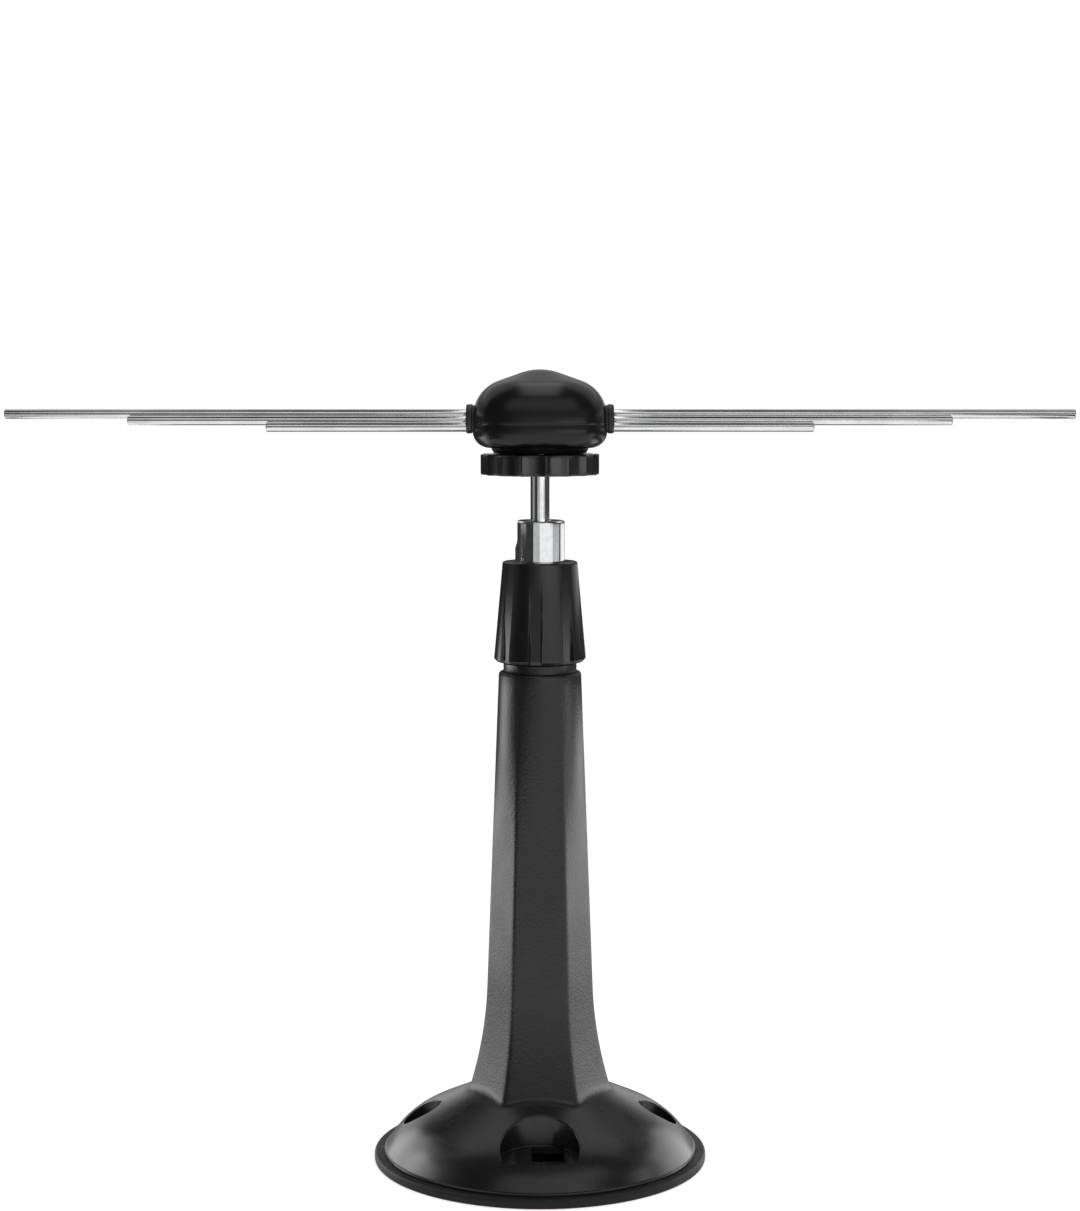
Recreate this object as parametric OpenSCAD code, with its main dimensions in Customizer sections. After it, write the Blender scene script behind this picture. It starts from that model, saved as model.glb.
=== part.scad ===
// Indoor radio antenna: three pairs of rods in a head that tilts and turns on a ball-jointed stand.
// Millimetres, +Z up, arms along X. The origin is on the floor, under the middle of the column.

/* [Gasket] */
// Outer diameter of the soft ring under the base
gasket_d = 112.6; // [104:0.2:130]
// Thickness of the soft ring
gasket_t = 3; // [1.5:0.1:5]
// Diameter of the opening in the middle of the ring
gasket_bore_d = 60; // [40:1:62]
// Height of the rib that locates the ring inside the dome
gasket_rib_h = 2.4; // [1:0.1:3]

/* [Base dome] */
// Diameter of the dome at its lower edge
dome_d = 106; // [96:0.2:110]
// Slope of the dome's outer band, degrees from level
dome_edge_slope = 56; // [48:1:64]
// Slope of the dome's upper cone, degrees from level
dome_top_slope = 24.7; // [20:0.1:28]
// Height of the dome's upper cone where it would meet the axis, above the gasket
dome_apex_h = 31.4; // [28:0.1:36]
// Radius of the curve between the two slopes
dome_shoulder_r = 28; // [16:1:30]
// Wall of the dome
dome_wall = 3; // [2:0.1:4]

/* [Base holes] */
// Distance of the screw recesses and the lead recess from the axis
recess_place_r = 40; // [38:0.2:41]
// Diameter of a screw recess
screw_recess_d = 12.7; // [10:0.1:14]
// Diameter of a wall screw's hole
screw_hole_d = 4.6; // [3:0.1:6]
// Thickness of the floor in a screw recess
screw_floor_t = 3.5; // [2:0.1:5]
// Diameter of the lead recess at the front
lead_recess_d = 26; // [18:0.2:28]
// Height of the lead recess's floor above the gasket
lead_floor_h = 8.5; // [7:0.1:10]
// Thickness of that floor
lead_floor_t = 2.2; // [1.6:0.1:3]
// Width of the lead slot in that floor
lead_slot_w = 10.6; // [5:0.1:11]
// Length of the lead slot, front to back
lead_slot_len = 15.5; // [6:0.1:16]
// Ledge between the lead slot and the recess's back wall
lead_slot_ledge = 0.8; // [0.5:0.1:2]
// Sideways offset of the lead slot
lead_slot_shift = 2.6; // [0:0.1:3]
// Wall round each recess
recess_wall = 2.2; // [1.5:0.1:3]

/* [Column] */
// Height of the column's top above the gasket
column_top_h = 163.5; // [120:0.5:200]
// Diameter of the column at its round top
column_top_d = 27.6; // [27:0.1:32]
// How much the column's radius grows for each millimetre down
column_taper = 0.038; // [0.02:0.001:0.05]
// Height above the gasket where the foot starts to flare
flare_h = 56; // [45:1:65]
// Radius of the flare's long curve
flare_r = 131; // [110:1:180]
// Radius of the fillet between column and dome
foot_fillet_r = 4; // [2:0.1:5]
// Height above the gasket below which the column is fully six-sided
hex_full_h = 92; // [80:1:100]
// Height above the gasket above which the column is fully round
round_full_h = 150; // [110:1:158]
// How far the corners are rounded: 1 is sharp
corner_sharpness = 0.98; // [0.95:0.005:1]
// Radius of the column's top edge
column_edge_r = 1; // [0.5:0.1:1.5]
// Wall of the column, over its flats
column_wall = 3; // [2:0.1:4]

/* [Neck] */
// Diameter of the plain shoulder that shows under the collar
shoulder_d = 24.5; // [23.6:0.1:26]
// Height of that shoulder
shoulder_h = 3; // [1:0.1:5]
// Diameter of the neck's thread
neck_thread_d = 22.2; // [21:0.1:22.8]
// Length of the neck's thread
neck_thread_len = 27.1; // [20:0.1:34]
// Bore of the neck
neck_bore_d = 10; // [6:0.5:12]
// Thickness of the neck's closed end
neck_end_t = 6; // [3:0.5:10]

/* [Clamp collar] */
// Diameter of the collar at its widest, near the bottom
collar_bottom_d = 30.8; // [30:0.1:34]
// Diameter of the collar at its top
collar_top_d = 25; // [25:0.1:28]
// Gap between the shoulder and the collar
collar_gap = 0.4; // [0.2:0.05:1]
// Height of the chamfer round the collar's lower edge
collar_chamfer = 1; // [0.5:0.1:2]
// Number of flutes
flute_count = 8; // [5:1:12]
// Width of a flute
flute_w = 3.2; // [2:0.1:4.4]
// Diameter over the bottoms of the flutes
flute_floor_d = 26.4; // [26:0.1:28]
// Angle of the first flute from the front
flute_start = -6; // [-20:1:20]
// Thickness of the collar's top wall
collar_top_t = 3.2; // [2:0.1:5]

/* [Ball joint] */
// Diameter of the ball
ball_d = 12; // [10:0.1:12.4]
// Height of the ball's centre above the neck's closed end
ball_above_neck = 14.7; // [13:0.1:17]
// Diameter of the socket
socket_d = 16.6; // [15.8:0.1:18]
// Height of the socket's top above the ball's centre
socket_over_ball = 5.8; // [5.4:0.05:6]
// Radius of the socket's top edge
socket_edge_r = 1; // [0.4:0.1:1.5]
// Diameter of the socket's flange inside the collar
socket_flange_d = 21.8; // [19:0.1:21.9]
// Thickness of the socket's flange
socket_flange_t = 3; // [2:0.1:3.3]
// Clearance round the ball in its seat
ball_clear = 0.05; // [0.01:0.01:0.1]
// Clearance of the tilt slot on each side of the stud
slot_clear = 0.25; // [0.15:0.05:0.5]

/* [Stud] */
// Diameter of the stud
stud_d = 6.35; // [5:0.05:8]
// Height of the knob's lower face above the ball's centre
knob_above_ball = 21; // [16:0.1:30]
// How far the stud reaches into the head's insert
stud_in_head = 7.5; // [4:0.1:8]
// Running clearance of threads and shafts, on radius
run_clear = 0.075; // [0.02:0.005:0.1]

/* [Lock knob] */
// Diameter of the knob over its ridges
knob_d = 40; // [34:0.5:44]
// Thickness of the knob
knob_t = 6.9; // [5.8:0.1:10]
// Number of scallops round the knob
scallop_count = 16; // [10:1:20]
// Radius of a scallop
scallop_r = 8; // [6:0.5:12]
// Angle of the first ridge from the front
ridge_start = 5.5; // [0:0.5:22]
// Width across the flats of the knob's nut
nut_flats = 11.1; // [10:0.1:14]
// Thickness of the knob's nut
nut_t = 5.2; // [4:0.1:5.5]

/* [Head] */
// Width of the head
head_w = 44.7; // [43:0.1:50]
// Depth of the head, front to back
head_depth = 39; // [37:0.5:44]
// Height of the head without its boss
head_h = 25.9; // [25.5:0.1:30]
// Height of the seam above the head's underside
seam_h = 7.7; // [7.4:0.1:8]
// Slope of the roof, degrees
roof_slope = 19.5; // [15:0.5:22]
// Radius of the shoulders under the roof
head_shoulder_r = 13; // [8:0.5:14]
// Radius of the crown
head_crown_r = 19; // [10:1:24]
// Radius of the head's lower edge
head_edge_r = 5.5; // [4:0.1:6]
// Squareness of the head's plan: 2 is an ellipse
head_square = 2.7; // [2.3:0.1:3.2]
// Wall of the shells
shell_wall = 2.2; // [1.6:0.1:2.6]
// Diameter of the boss under the head, at the head
boss_top_d = 33; // [32:0.1:34]
// Diameter of the boss at its lower end
boss_bottom_d = 30.8; // [30:0.1:32]
// Height of the boss
boss_h = 1.8; // [1:0.1:3]
// Gap between the boss and the lock knob
boss_gap = 0.3; // [0.1:0.05:0.6]

/* [Rods] */
// Diameter of a rod
rod_d = 3.2; // [2:0.1:3.4]
// Reach of the long rods from the axis
rod_long = 178.6; // [120:0.1:260]
// Reach of the middle rods from the axis
rod_mid = 137; // [80:0.5:240]
// Reach of the short rods from the axis
rod_short = 90.7; // [50:0.1:200]
// Step down from one rod to the next
rod_step_z = 2.1; // [1.9:0.05:2.2]
// Step forward from one rod to the next
rod_step_y = 3.4; // [3.2:0.05:3.6]
// Height of the middle rods above the seam
rod_above_seam = 1.3; // [1.2:0.05:1.6]
// Distance of the rods' inner ends from the axis
rod_inner_x = 10; // [9.8:0.1:12]
// Clearance round a rod where it is held, on radius
rod_clear = 0.03; // [0.01:0.01:0.06]

/* [Grommets] */
// Width of a grommet outside the head, front to back
grommet_w = 13.2; // [12.8:0.1:14]
// Height of a grommet outside the head
grommet_h = 9.6; // [9.4:0.1:9.8]
// Height of the grommet's middle above the seam
grommet_above_seam = 1.85; // [1.6:0.05:1.9]
// How far a grommet stands out of the head
grommet_out = 2.1; // [1:0.1:4]
// Corner radius of a grommet
grommet_r = 3; // [2:0.1:4]
// How much a grommet's lips stand over its neck
grommet_lip = 0.3; // [0.2:0.05:0.4]
// Thickness of the grommet's inner lip
grommet_lip_t = 1.2; // [0.8:0.1:1.5]

/* [Terminal blocks] */
// Width of a block along the rods
block_len = 8; // [6:0.1:8.4]
// Depth of a block, front to back
block_w = 12.6; // [12.2:0.1:12.8]
// Height of a block
block_h = 9.6; // [9.4:0.1:10]
// Wall between a rod's inner end and the block's inner face
block_end_t = 1; // [0.8:0.1:1.2]
// Diameter of a clamp screw
clamp_screw_d = 2.5; // [2:0.1:2.8]

/* [Balun] */
// Length of the circuit board
board_len = 28; // [24:0.5:28.5]
// Width of the circuit board
board_w = 12.4; // [10:0.1:12.8]
// Thickness of the circuit board
board_t = 1.2; // [0.8:0.1:1.6]
// Height of the board's underside above the terminal blocks
board_above_block = 3; // [2.6:0.1:3.4]
// Distance of the board's screws from the axis
board_screw_x = 11.5; // [10:0.1:12]
// Length of the ferrite core
core_len = 7; // [5:0.1:10]
// Width of the ferrite core
core_w = 6.2; // [5:0.1:8]
// Height of the ferrite core
core_h = 4; // [3:0.1:4.4]
// Diameter of each hole through the core
core_hole_d = 1.8; // [1:0.1:2]
// Diameter of a connecting lead
lead_d = 1; // [0.6:0.1:1.4]

/* [Aerial socket] */
// Diameter of the socket's thread
jack_thread_d = 9.5; // [9:0.1:10]
// How far the thread stands out of its seat
jack_out = 10; // [8:0.5:14]
// Height of the socket's axis above the seam
jack_above_seam = 7.2; // [7:0.1:7.6]
// Diameter of the round seat for the socket on the head
jack_seat_d = 13.8; // [13:0.1:14]
// Width across the flats of the socket's nut
jack_nut_flats = 11; // [11:0.1:12.5]
// Thickness of the socket's nut
jack_nut_t = 2.4; // [1.5:0.1:3]
// Diameter of the opening in the socket's end
jack_mouth_d = 6.4; // [5:0.1:7]

/* [Shell screws] */
// Distance of the shell screws from the axis, sideways
shell_screw_x = 7.6; // [7.4:0.1:8]
// Distance of the shell screws from the axis, front to back
shell_screw_y = 9; // [8.9:0.1:9.2]
// Diameter of a shell screw
shell_screw_d = 2.4; // [2:0.1:2.8]
// Diameter of a shell screw's head
shell_screw_head_d = 4.6; // [4:0.1:4.8]
// Thickness of a shell screw's head
shell_screw_head_t = 1.8; // [1.2:0.1:2]
// Diameter of the posts that the shell screws go into
post_d = 4.6; // [4:0.1:4.6]

/* [Hidden] */

// Faces round each round piece, and points round the shaped column and head
$fn = 96;
column_points = 72;
head_points = 56;
// A small overlap that keeps cuts clean, and the gap between pieces that only rest near each other
eps = 0.5;
seat_gap = 0.1;

// Levels, from the floor up
dome_z = gasket_t;
column_top_z = dome_z + column_top_h;
shoulder_top_z = column_top_z + shoulder_h;
neck_top_z = shoulder_top_z + neck_thread_len;
ball_z = neck_top_z + ball_above_neck;
socket_top_z = ball_z + socket_over_ball;
flange_z = neck_top_z + 0.5;
flange_top_z = flange_z + socket_flange_t;
collar_z = shoulder_top_z + collar_gap;
collar_wall_z = flange_top_z + seat_gap;
collar_top_z = collar_wall_z + collar_top_t;
knob_z = ball_z + knob_above_ball;
knob_top_z = knob_z + knob_t;
boss_z = knob_top_z + boss_gap;
head_z = boss_z + boss_h;
seam_z = head_z + seam_h;
rod_z = seam_z + rod_above_seam;
grommet_z = seam_z + grommet_above_seam;
stud_top_z = boss_z + stud_in_head;
insert_top_z = stud_top_z + 0.4;
jack_z = seam_z + jack_above_seam;

// Places that follow from the sizes
collar_bore_r = neck_thread_d / 2 + run_clear;
socket_bore_r = ball_d / 2 + 3 * ball_clear;
socket_mouth_r = stud_d / 2 + 2 * slot_clear;
slot_half_w = stud_d / 2 + slot_clear;
insert_r = 5.5;
insert_boss_r = insert_r + shell_wall;
block_z = rod_z - block_h / 2 + 0.15;
block_top_z = block_z + block_h;
block_inner_x = rod_inner_x - block_end_t;
block_outer_x = block_inner_x + block_len;
board_z = block_top_z + board_above_block;
board_top_z = board_z + board_t;
head_half_w = head_w / 2;
depth_ratio = head_depth / head_w;
roof_corner_h = head_h + head_crown_r * (1 / cos(roof_slope) - 1);
jack_seat_y = head_depth / 2 + 0.5;
jack_flange_t = 1.8;
jack_flange_d = jack_thread_d + 1.8;
jack_shank_d = jack_thread_d - 0.4;
jack_flange_y = jack_seat_y - 3.2 - jack_flange_t;
post_foot_z = head_z + shell_wall + 1.2;
lead_x = 13;
grommet_inner_x = head_half_w - shell_wall - grommet_lip_t - 1.6;
grommet_neck_x = grommet_inner_x + grommet_lip_t;
grommet_outer_x = head_half_w + grommet_out;

// Unit vector, and the arc of radius r that rounds the corner b of the path a, b, c
function unit(v) = v / norm(v);
function corner_arc(a, b, c, r, n) =
  let (u = unit(a - b), w = unit(c - b), half = acos(u * w) / 2)
  let (centre = b + unit(u + w) * r / sin(half), first = b + u * r / tan(half))
  let (start = atan2(first[1] - centre[1], first[0] - centre[0]))
  let (turn = (u[0] * w[1] - u[1] * w[0] > 0 ? -1 : 1) * (180 - 2 * half))
  [for (i = [0 : n]) centre + r * [cos(start + turn * i / n), sin(start + turn * i / n)]];

// Outline of the dome, from its lower edge to the axis, moved in by an inset
function dome_cone_z(r) = dome_z + dome_apex_h - r * tan(dome_top_slope);
function dome_outline(inset) =
  let (edge_r = dome_d / 2 - inset / sin(dome_edge_slope))
  let (apex_h = dome_apex_h - inset / cos(dome_top_slope))
  let (k1 = tan(dome_edge_slope), k2 = tan(dome_top_slope))
  let (corner_r = (edge_r * k1 - apex_h) / (k1 - k2))
  let (low = [edge_r, dome_z], corner = [corner_r, dome_z + apex_h - corner_r * k2])
  let (top = [0, dome_z + apex_h])
  concat([low], corner_arc(low, corner, top, dome_shoulder_r - inset, 8), [top]);

// Half width of the column over its corners at height z
function column_r(z) =
  column_top_d / 2 + column_taper * (column_top_z - z)
  + (z < dome_z + flare_h ? pow(dome_z + flare_h - z, 2) / (2 * flare_r) : 0);
// Share of the six-sided form at height z, eased in over the change
function hex_share(z) =
  let (t = (dome_z + round_full_h - z) / (round_full_h - hex_full_h), s = min(1, max(0, t)))
  s * s * (3 - 2 * s);
// Radius of the six-sided form in the direction a, where a corner is 1
function hex_form(a) =
  let (off = (a % 60) - 30)
  min(corner_sharpness, cos(30) / cos(off)) / corner_sharpness;
function column_form_r(z, a) = column_r(z) * (1 + hex_share(z) * (hex_form(a) - 1));

// Rings of the column: rounded top edge, shaft, and the fillet that runs onto the dome
shaft_steps = 13;
fillet_steps = 4;
fillet_turn = 90 - dome_top_slope;
fillet_start_z = dome_cone_z(column_r(dome_z + dome_apex_h)) + foot_fillet_r;
// The fillet's end is let into the dome by a little, so that the two run together
let_in = 0.05;
function fillet_point(a, i) =
  let (wall = column_form_r(fillet_start_z, a), f = fillet_turn * i / fillet_steps)
  let (end_r = wall + foot_fillet_r * (1 - cos(fillet_turn)))
  let (z0 = dome_cone_z(end_r) + foot_fillet_r * sin(fillet_turn) - let_in)
  [wall + foot_fillet_r * (1 - cos(f)), z0 - foot_fillet_r * sin(f)];
// Radius of the hollow in the column at height z, one wall inside its flats
function flat_r(z) = column_r(z) * (1 - hex_share(z) * (1 - cos(30)));
function column_bore_r(z) = flat_r(z) - column_wall;
foot_bore_r = column_bore_r(dome_z + 0.7 * dome_apex_h);
function column_angle(i) = 360 * i / column_points;
function around(a, r, z) = [r * cos(a), r * sin(a), z];
function column_rings() = concat(
  [for (f = [90, 45, 0])
    let (z = column_top_z - column_edge_r * (1 - sin(f)), drop = column_edge_r * (1 - cos(f)))
    [for (i = [0 : column_points - 1])
      around(column_angle(i), column_form_r(z, column_angle(i)) - drop, z)]],
  [for (s = [1 : shaft_steps - 1])
    let (top = column_top_z - column_edge_r, t = pow(s / shaft_steps, 0.85))
    [for (i = [0 : column_points - 1])
      let (a = column_angle(i), z = top + (fillet_point(a, 0)[1] - top) * t)
      around(a, column_form_r(z, a), z)]],
  [for (f = [0 : fillet_steps])
    [for (i = [0 : column_points - 1])
      let (p = fillet_point(column_angle(i), f)) around(column_angle(i), p[0], p[1])]],
  [[for (i = [0 : column_points - 1])
    let (a = column_angle(i), p = fillet_point(a, fillet_steps))
    around(a, p[0] - 1, dome_cone_z(p[0] - 1) - 0.5 * dome_wall)]],
  [[for (i = [0 : column_points - 1])
    around(column_angle(i), foot_bore_r - 0.3, dome_cone_z(foot_bore_r) - 0.5 * dome_wall)]]
);

// Outline of the head from its underside to its crown, moved in by an inset
function head_outline(inset) =
  let (w = head_half_w - inset, low = head_z + inset)
  let (crown_z = head_z + roof_corner_h - inset / cos(roof_slope))
  let (eave_z = crown_z - w * tan(roof_slope))
  let (edge = [w, low], eave = [w, eave_z], crown = [0, crown_z])
  concat(
    corner_arc([0, low], edge, eave, head_edge_r - inset, 5),
    corner_arc(edge, eave, crown, head_shoulder_r - inset, 9),
    corner_arc(eave, crown, [-w, eave_z], head_crown_r - inset, 6)
  );
// The points of the outline that lie between two heights, on one side of the axis
function head_span(inset, z0, z1) =
  [for (p = head_outline(inset)) if (p[1] > z0 + 0.3 && p[1] < z1 - 0.3 && p[0] > 1.5) p];
function power(v, e) = sign(v) * pow(abs(v), e);
// Half width of the head's plan that passes through a point, and the roof's height over it
function plan_w(x, y) =
  pow(pow(abs(x), head_square) + pow(abs(y) / depth_ratio, head_square), 1 / head_square);
function roof_z(x, y) = head_z + roof_corner_h - plan_w(x, y) * tan(roof_slope);
function head_ring(half_w, z) =
  [for (i = [0 : head_points - 1])
    let (a = 360 * i / head_points, e = 2 / head_square)
    [half_w * power(cos(a), e), half_w * depth_ratio * power(sin(a), e), z]];
// Half width of the head's straight side, and its rings between two heights
function head_rings(inset, z0, z1, w0, w1) = concat(
  [head_ring(w0, z0)],
  [for (p = head_span(inset, z0, z1)) head_ring(p[0], p[1])],
  [head_ring(w1, z1)]
);

function reversed(v) = [for (i = [len(v) - 1 : -1 : 0]) v[i]];

// A closed body over a list of rings with the same number of points, first ring to last
module loft(rings) {
  n = len(rings[0]);
  last = len(rings) - 1;
  points = [for (ring = rings) each ring];
  sides = [for (j = [0 : last - 1], i = [0 : n - 1])
    let (k = (i + 1) % n) [j * n + i, j * n + k, (j + 1) * n + k, (j + 1) * n + i]];
  halves = [for (f = sides) each [[f[0], f[2], f[1]], [f[0], f[3], f[2]]]];
  caps = [[for (i = [n - 1 : -1 : 0]) i], [for (i = [0 : n - 1]) last * n + i]];
  faces = concat(halves, caps);
  downward = rings[0][0][2] > rings[last][0][2];
  polyhedron(points = points, faces = downward ? faces : [for (f = faces) reversed(f)], convexity = 6);
}

module upright(x, y, z0, z1, d) {
  translate([x, y, z0]) cylinder(d = d, h = z1 - z0);
}

// A round bar along X from x0 to x1, whichever side of the axis they are
module along_x(x0, x1, y, z, d) {
  translate([min(x0, x1), y, z]) rotate([0, 90, 0]) cylinder(d = d, h = abs(x1 - x0));
}

module along_y(x, y0, y1, z, d) {
  translate([x, y0, z]) rotate([-90, 0, 0]) cylinder(d = d, h = y1 - y0);
}

module rounded_rect(w, h, r) {
  square([w - 2 * r, h], center = true);
  square([w, h - 2 * r], center = true);
  for (sx = [-1, 1], sy = [-1, 1]) translate([sx * (w / 2 - r), sy * (h / 2 - r)]) circle(r);
}

// A six-sided bar along Z, given across its flats
module hex_bar(flats, h) {
  cylinder(d = flats / cos(30), h = h, $fn = 6);
}

// Where the three screw recesses are: right, back and left
module at_screws() {
  for (a = [0, 90, 180]) rotate(a) translate([recess_place_r, 0, 0]) children();
}

module at_shell_screws() {
  for (sx = [-1, 1], sy = [-1, 1]) translate([sx * shell_screw_x, sy * shell_screw_y, 0]) children();
}

module dome_solid(inset) {
  outline = dome_outline(inset);
  rotate_extrude() polygon(concat([[0, dome_z]], outline));
}

module recess_walls() {
  at_screws() translate([0, 0, dome_z]) cylinder(d = screw_recess_d + 2 * recess_wall, h = dome_apex_h);
  translate([0, -recess_place_r, dome_z + lead_floor_h - lead_floor_t])
    cylinder(d = lead_recess_d + 2 * recess_wall, h = dome_apex_h);
}

module recess_cuts() {
  at_screws() {
    translate([0, 0, dome_z + screw_floor_t]) cylinder(d = screw_recess_d, h = dome_apex_h);
    translate([0, 0, dome_z - eps]) cylinder(d = screw_hole_d, h = screw_floor_t + 2 * eps);
  }
  translate([0, -recess_place_r, dome_z + lead_floor_h])
    cylinder(d = lead_recess_d, h = dome_apex_h);
  slot_back_y = lead_recess_d / 2 - recess_place_r - lead_slot_ledge;
  translate([lead_slot_shift - lead_slot_w / 2, slot_back_y - lead_slot_len, dome_z])
    cube([lead_slot_w, lead_slot_len, lead_floor_h + eps]);
}

module column_hollow() {
  low_z = dome_z + 0.5 * dome_apex_h;
  top_z = column_top_z - 2 * column_wall;
  steps = 12;
  wall_line = [for (i = [0 : steps]) let (z = low_z + (top_z - low_z) * pow(i / steps, 1.3))
    [min(foot_bore_r, column_bore_r(z)), z]];
  rotate_extrude() polygon(concat([[0, low_z]], wall_line, [[0, top_z]]));
  upright(0, 0, top_z - eps, neck_top_z - neck_end_t, neck_bore_d);
}

module pedestal() {
  color([0.09, 0.09, 0.1]) difference() {
    union() {
      difference() {
        dome_solid(0);
        difference() {
          translate([0, 0, -eps]) dome_solid(dome_wall);
          recess_walls();
        }
      }
      loft(column_rings());
      upright(0, 0, column_top_z - eps, shoulder_top_z, shoulder_d);
      upright(0, 0, shoulder_top_z - eps, neck_top_z, neck_thread_d);
    }
    recess_cuts();
    column_hollow();
  }
}

module base_gasket() {
  rib_r = dome_d / 2 - dome_wall / sin(dome_edge_slope) - gasket_rib_h / tan(dome_edge_slope) - 0.4;
  color([0.16, 0.16, 0.17]) difference() {
    union() {
      rotate_extrude() polygon([
        [gasket_bore_d / 2, 0], [gasket_d / 2 - 0.6, 0], [gasket_d / 2, 0.6],
        [gasket_d / 2, gasket_t - 0.9], [gasket_d / 2 - 0.9, gasket_t], [gasket_bore_d / 2, gasket_t]
      ]);
      for (a = [45 : 90 : 315]) rotate(a) rotate_extrude(angle = 20, start = -10)
        translate([rib_r - 1.6, gasket_t - eps]) square([1.6, gasket_rib_h + eps]);
    }
    at_screws() translate([0, 0, -eps]) cylinder(d = screw_hole_d + 0.8, h = gasket_t + 2 * eps);
  }
}

module clamp_collar() {
  widest_z = collar_z + collar_chamfer;
  low_r = collar_bottom_d / 2 - collar_chamfer;
  color([0.08, 0.08, 0.09]) difference() {
    rotate_extrude() polygon([
      [0, collar_z], [low_r, collar_z], [collar_bottom_d / 2, widest_z],
      [collar_top_d / 2, collar_top_z - 0.6], [collar_top_d / 2 - 0.5, collar_top_z], [0, collar_top_z]
    ]);
    for (i = [0 : flute_count - 1]) rotate(-90 + flute_start + 360 * i / flute_count)
      translate([flute_floor_d / 2, -flute_w / 2, collar_z - eps])
        cube([collar_bottom_d, flute_w, collar_top_z - collar_z]);
    upright(0, 0, collar_z - eps, collar_wall_z, 2 * collar_bore_r);
    upright(0, 0, collar_z, collar_top_z + eps, socket_d + 2 * run_clear);
  }
}

module ball_socket() {
  color([0.8, 0.8, 0.82]) difference() {
    union() {
      upright(0, 0, flange_z, flange_top_z, socket_flange_d);
      rotate_extrude() {
        translate([0, flange_z]) square([socket_d / 2, socket_top_z - socket_edge_r - flange_z]);
        translate([0, flange_z]) square([socket_d / 2 - socket_edge_r, socket_top_z - flange_z]);
        translate([socket_d / 2 - socket_edge_r, socket_top_z - socket_edge_r]) circle(socket_edge_r);
      }
    }
    upright(0, 0, flange_z - eps, ball_z, 2 * socket_bore_r);
    translate([0, 0, ball_z]) sphere(r = ball_d / 2 + ball_clear);
    upright(0, 0, ball_z, socket_top_z + eps, 2 * socket_mouth_r);
    along_x(-socket_d, 0, 0, ball_z, 2 * slot_half_w);
    translate([-socket_d, -slot_half_w, ball_z]) cube([socket_d, 2 * slot_half_w, socket_d]);
  }
}

module pressure_pad() {
  pad_top_z = ball_z - slot_half_w - 0.3;
  color([0.2, 0.2, 0.2]) difference() {
    upright(0, 0, neck_top_z + seat_gap, pad_top_z, 2 * (socket_bore_r - run_clear));
    translate([0, 0, ball_z]) sphere(r = ball_d / 2 + ball_clear);
  }
}

module ball_stud() {
  color([0.8, 0.8, 0.82]) {
    translate([0, 0, ball_z]) sphere(d = ball_d);
    upright(0, 0, ball_z, stud_top_z, stud_d);
  }
}

module lock_knob() {
  half_pitch = 180 / scallop_count;
  cut_place = knob_d / 2 * cos(half_pitch)
    + sqrt(pow(scallop_r, 2) - pow(knob_d / 2 * sin(half_pitch), 2));
  color([0.06, 0.06, 0.07]) difference() {
    upright(0, 0, knob_z, knob_top_z, knob_d);
    for (i = [0 : scallop_count - 1]) rotate(-90 + ridge_start + (2 * i + 1) * half_pitch)
      upright(cut_place, 0, knob_z - eps, knob_top_z + eps, 2 * scallop_r);
    upright(0, 0, knob_z - eps, knob_top_z + eps, stud_d + 4 * run_clear);
    translate([0, 0, knob_top_z - nut_t]) hex_bar(nut_flats + 2 * rod_clear, nut_t + eps);
  }
}

module knob_nut() {
  color([0.75, 0.62, 0.3]) difference() {
    translate([0, 0, knob_top_z - nut_t + rod_clear]) hex_bar(nut_flats, nut_t - rod_clear);
    upright(0, 0, knob_z, knob_top_z + eps, stud_d + 2 * run_clear);
  }
}

// The opening for a grommet's neck, through one end of the head
module grommet_neck(side, grow) {
  translate([side > 0 ? grommet_neck_x - eps : -head_half_w - eps, 0, grommet_z])
    rotate([90, 0, 90]) linear_extrude(head_half_w - grommet_neck_x + 2 * eps)
      rounded_rect(grommet_w - 2 * grommet_lip + 2 * grow, grommet_h - 2 * grommet_lip + 2 * grow,
        grommet_r - grommet_lip);
}

module head_hollow(z0, z1) {
  inner_w = head_half_w - shell_wall;
  low_w = z0 > seam_z - 1 ? inner_w : inner_w - (head_edge_r - shell_wall);
  high_w = z1 < seam_z + 1 ? inner_w : 1.2;
  loft(head_rings(shell_wall, z0, z1, low_w, high_w));
}

module head_lower_shell() {
  floor_z = head_z + shell_wall;
  edge_w = head_half_w - head_edge_r;
  color([0.1, 0.1, 0.11]) difference() {
    union() {
      difference() {
        loft(head_rings(0, head_z, seam_z, edge_w, head_half_w));
        head_hollow(floor_z, seam_z + 0.001);
      }
      translate([0, 0, boss_z]) cylinder(d1 = boss_bottom_d, d2 = boss_top_d, h = boss_h + 0.3);
      upright(0, 0, floor_z - eps, insert_top_z, 2 * insert_boss_r);
      at_shell_screws() upright(0, 0, floor_z - eps, post_foot_z, post_d + 1.6);
      for (side = [-1, 1], sy = [-1, 1])
        translate([side * (block_inner_x + block_len / 2), sy * (block_w / 2 - 1.2), block_z / 2 + floor_z / 2 - 0.25])
          cube([block_len - 1, 2, block_z - floor_z + 0.5], center = true);
    }
    upright(0, 0, boss_z - eps, insert_top_z + eps, 2 * insert_r);
    at_shell_screws() {
      upright(0, 0, boss_z - eps, post_foot_z + eps, shell_screw_d + 0.5);
      upright(0, 0, boss_z - eps, boss_z + shell_screw_head_t + 0.2, shell_screw_head_d + 0.4);
    }
    for (side = [-1, 1]) grommet_neck(side, 0.05);
  }
}

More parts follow.
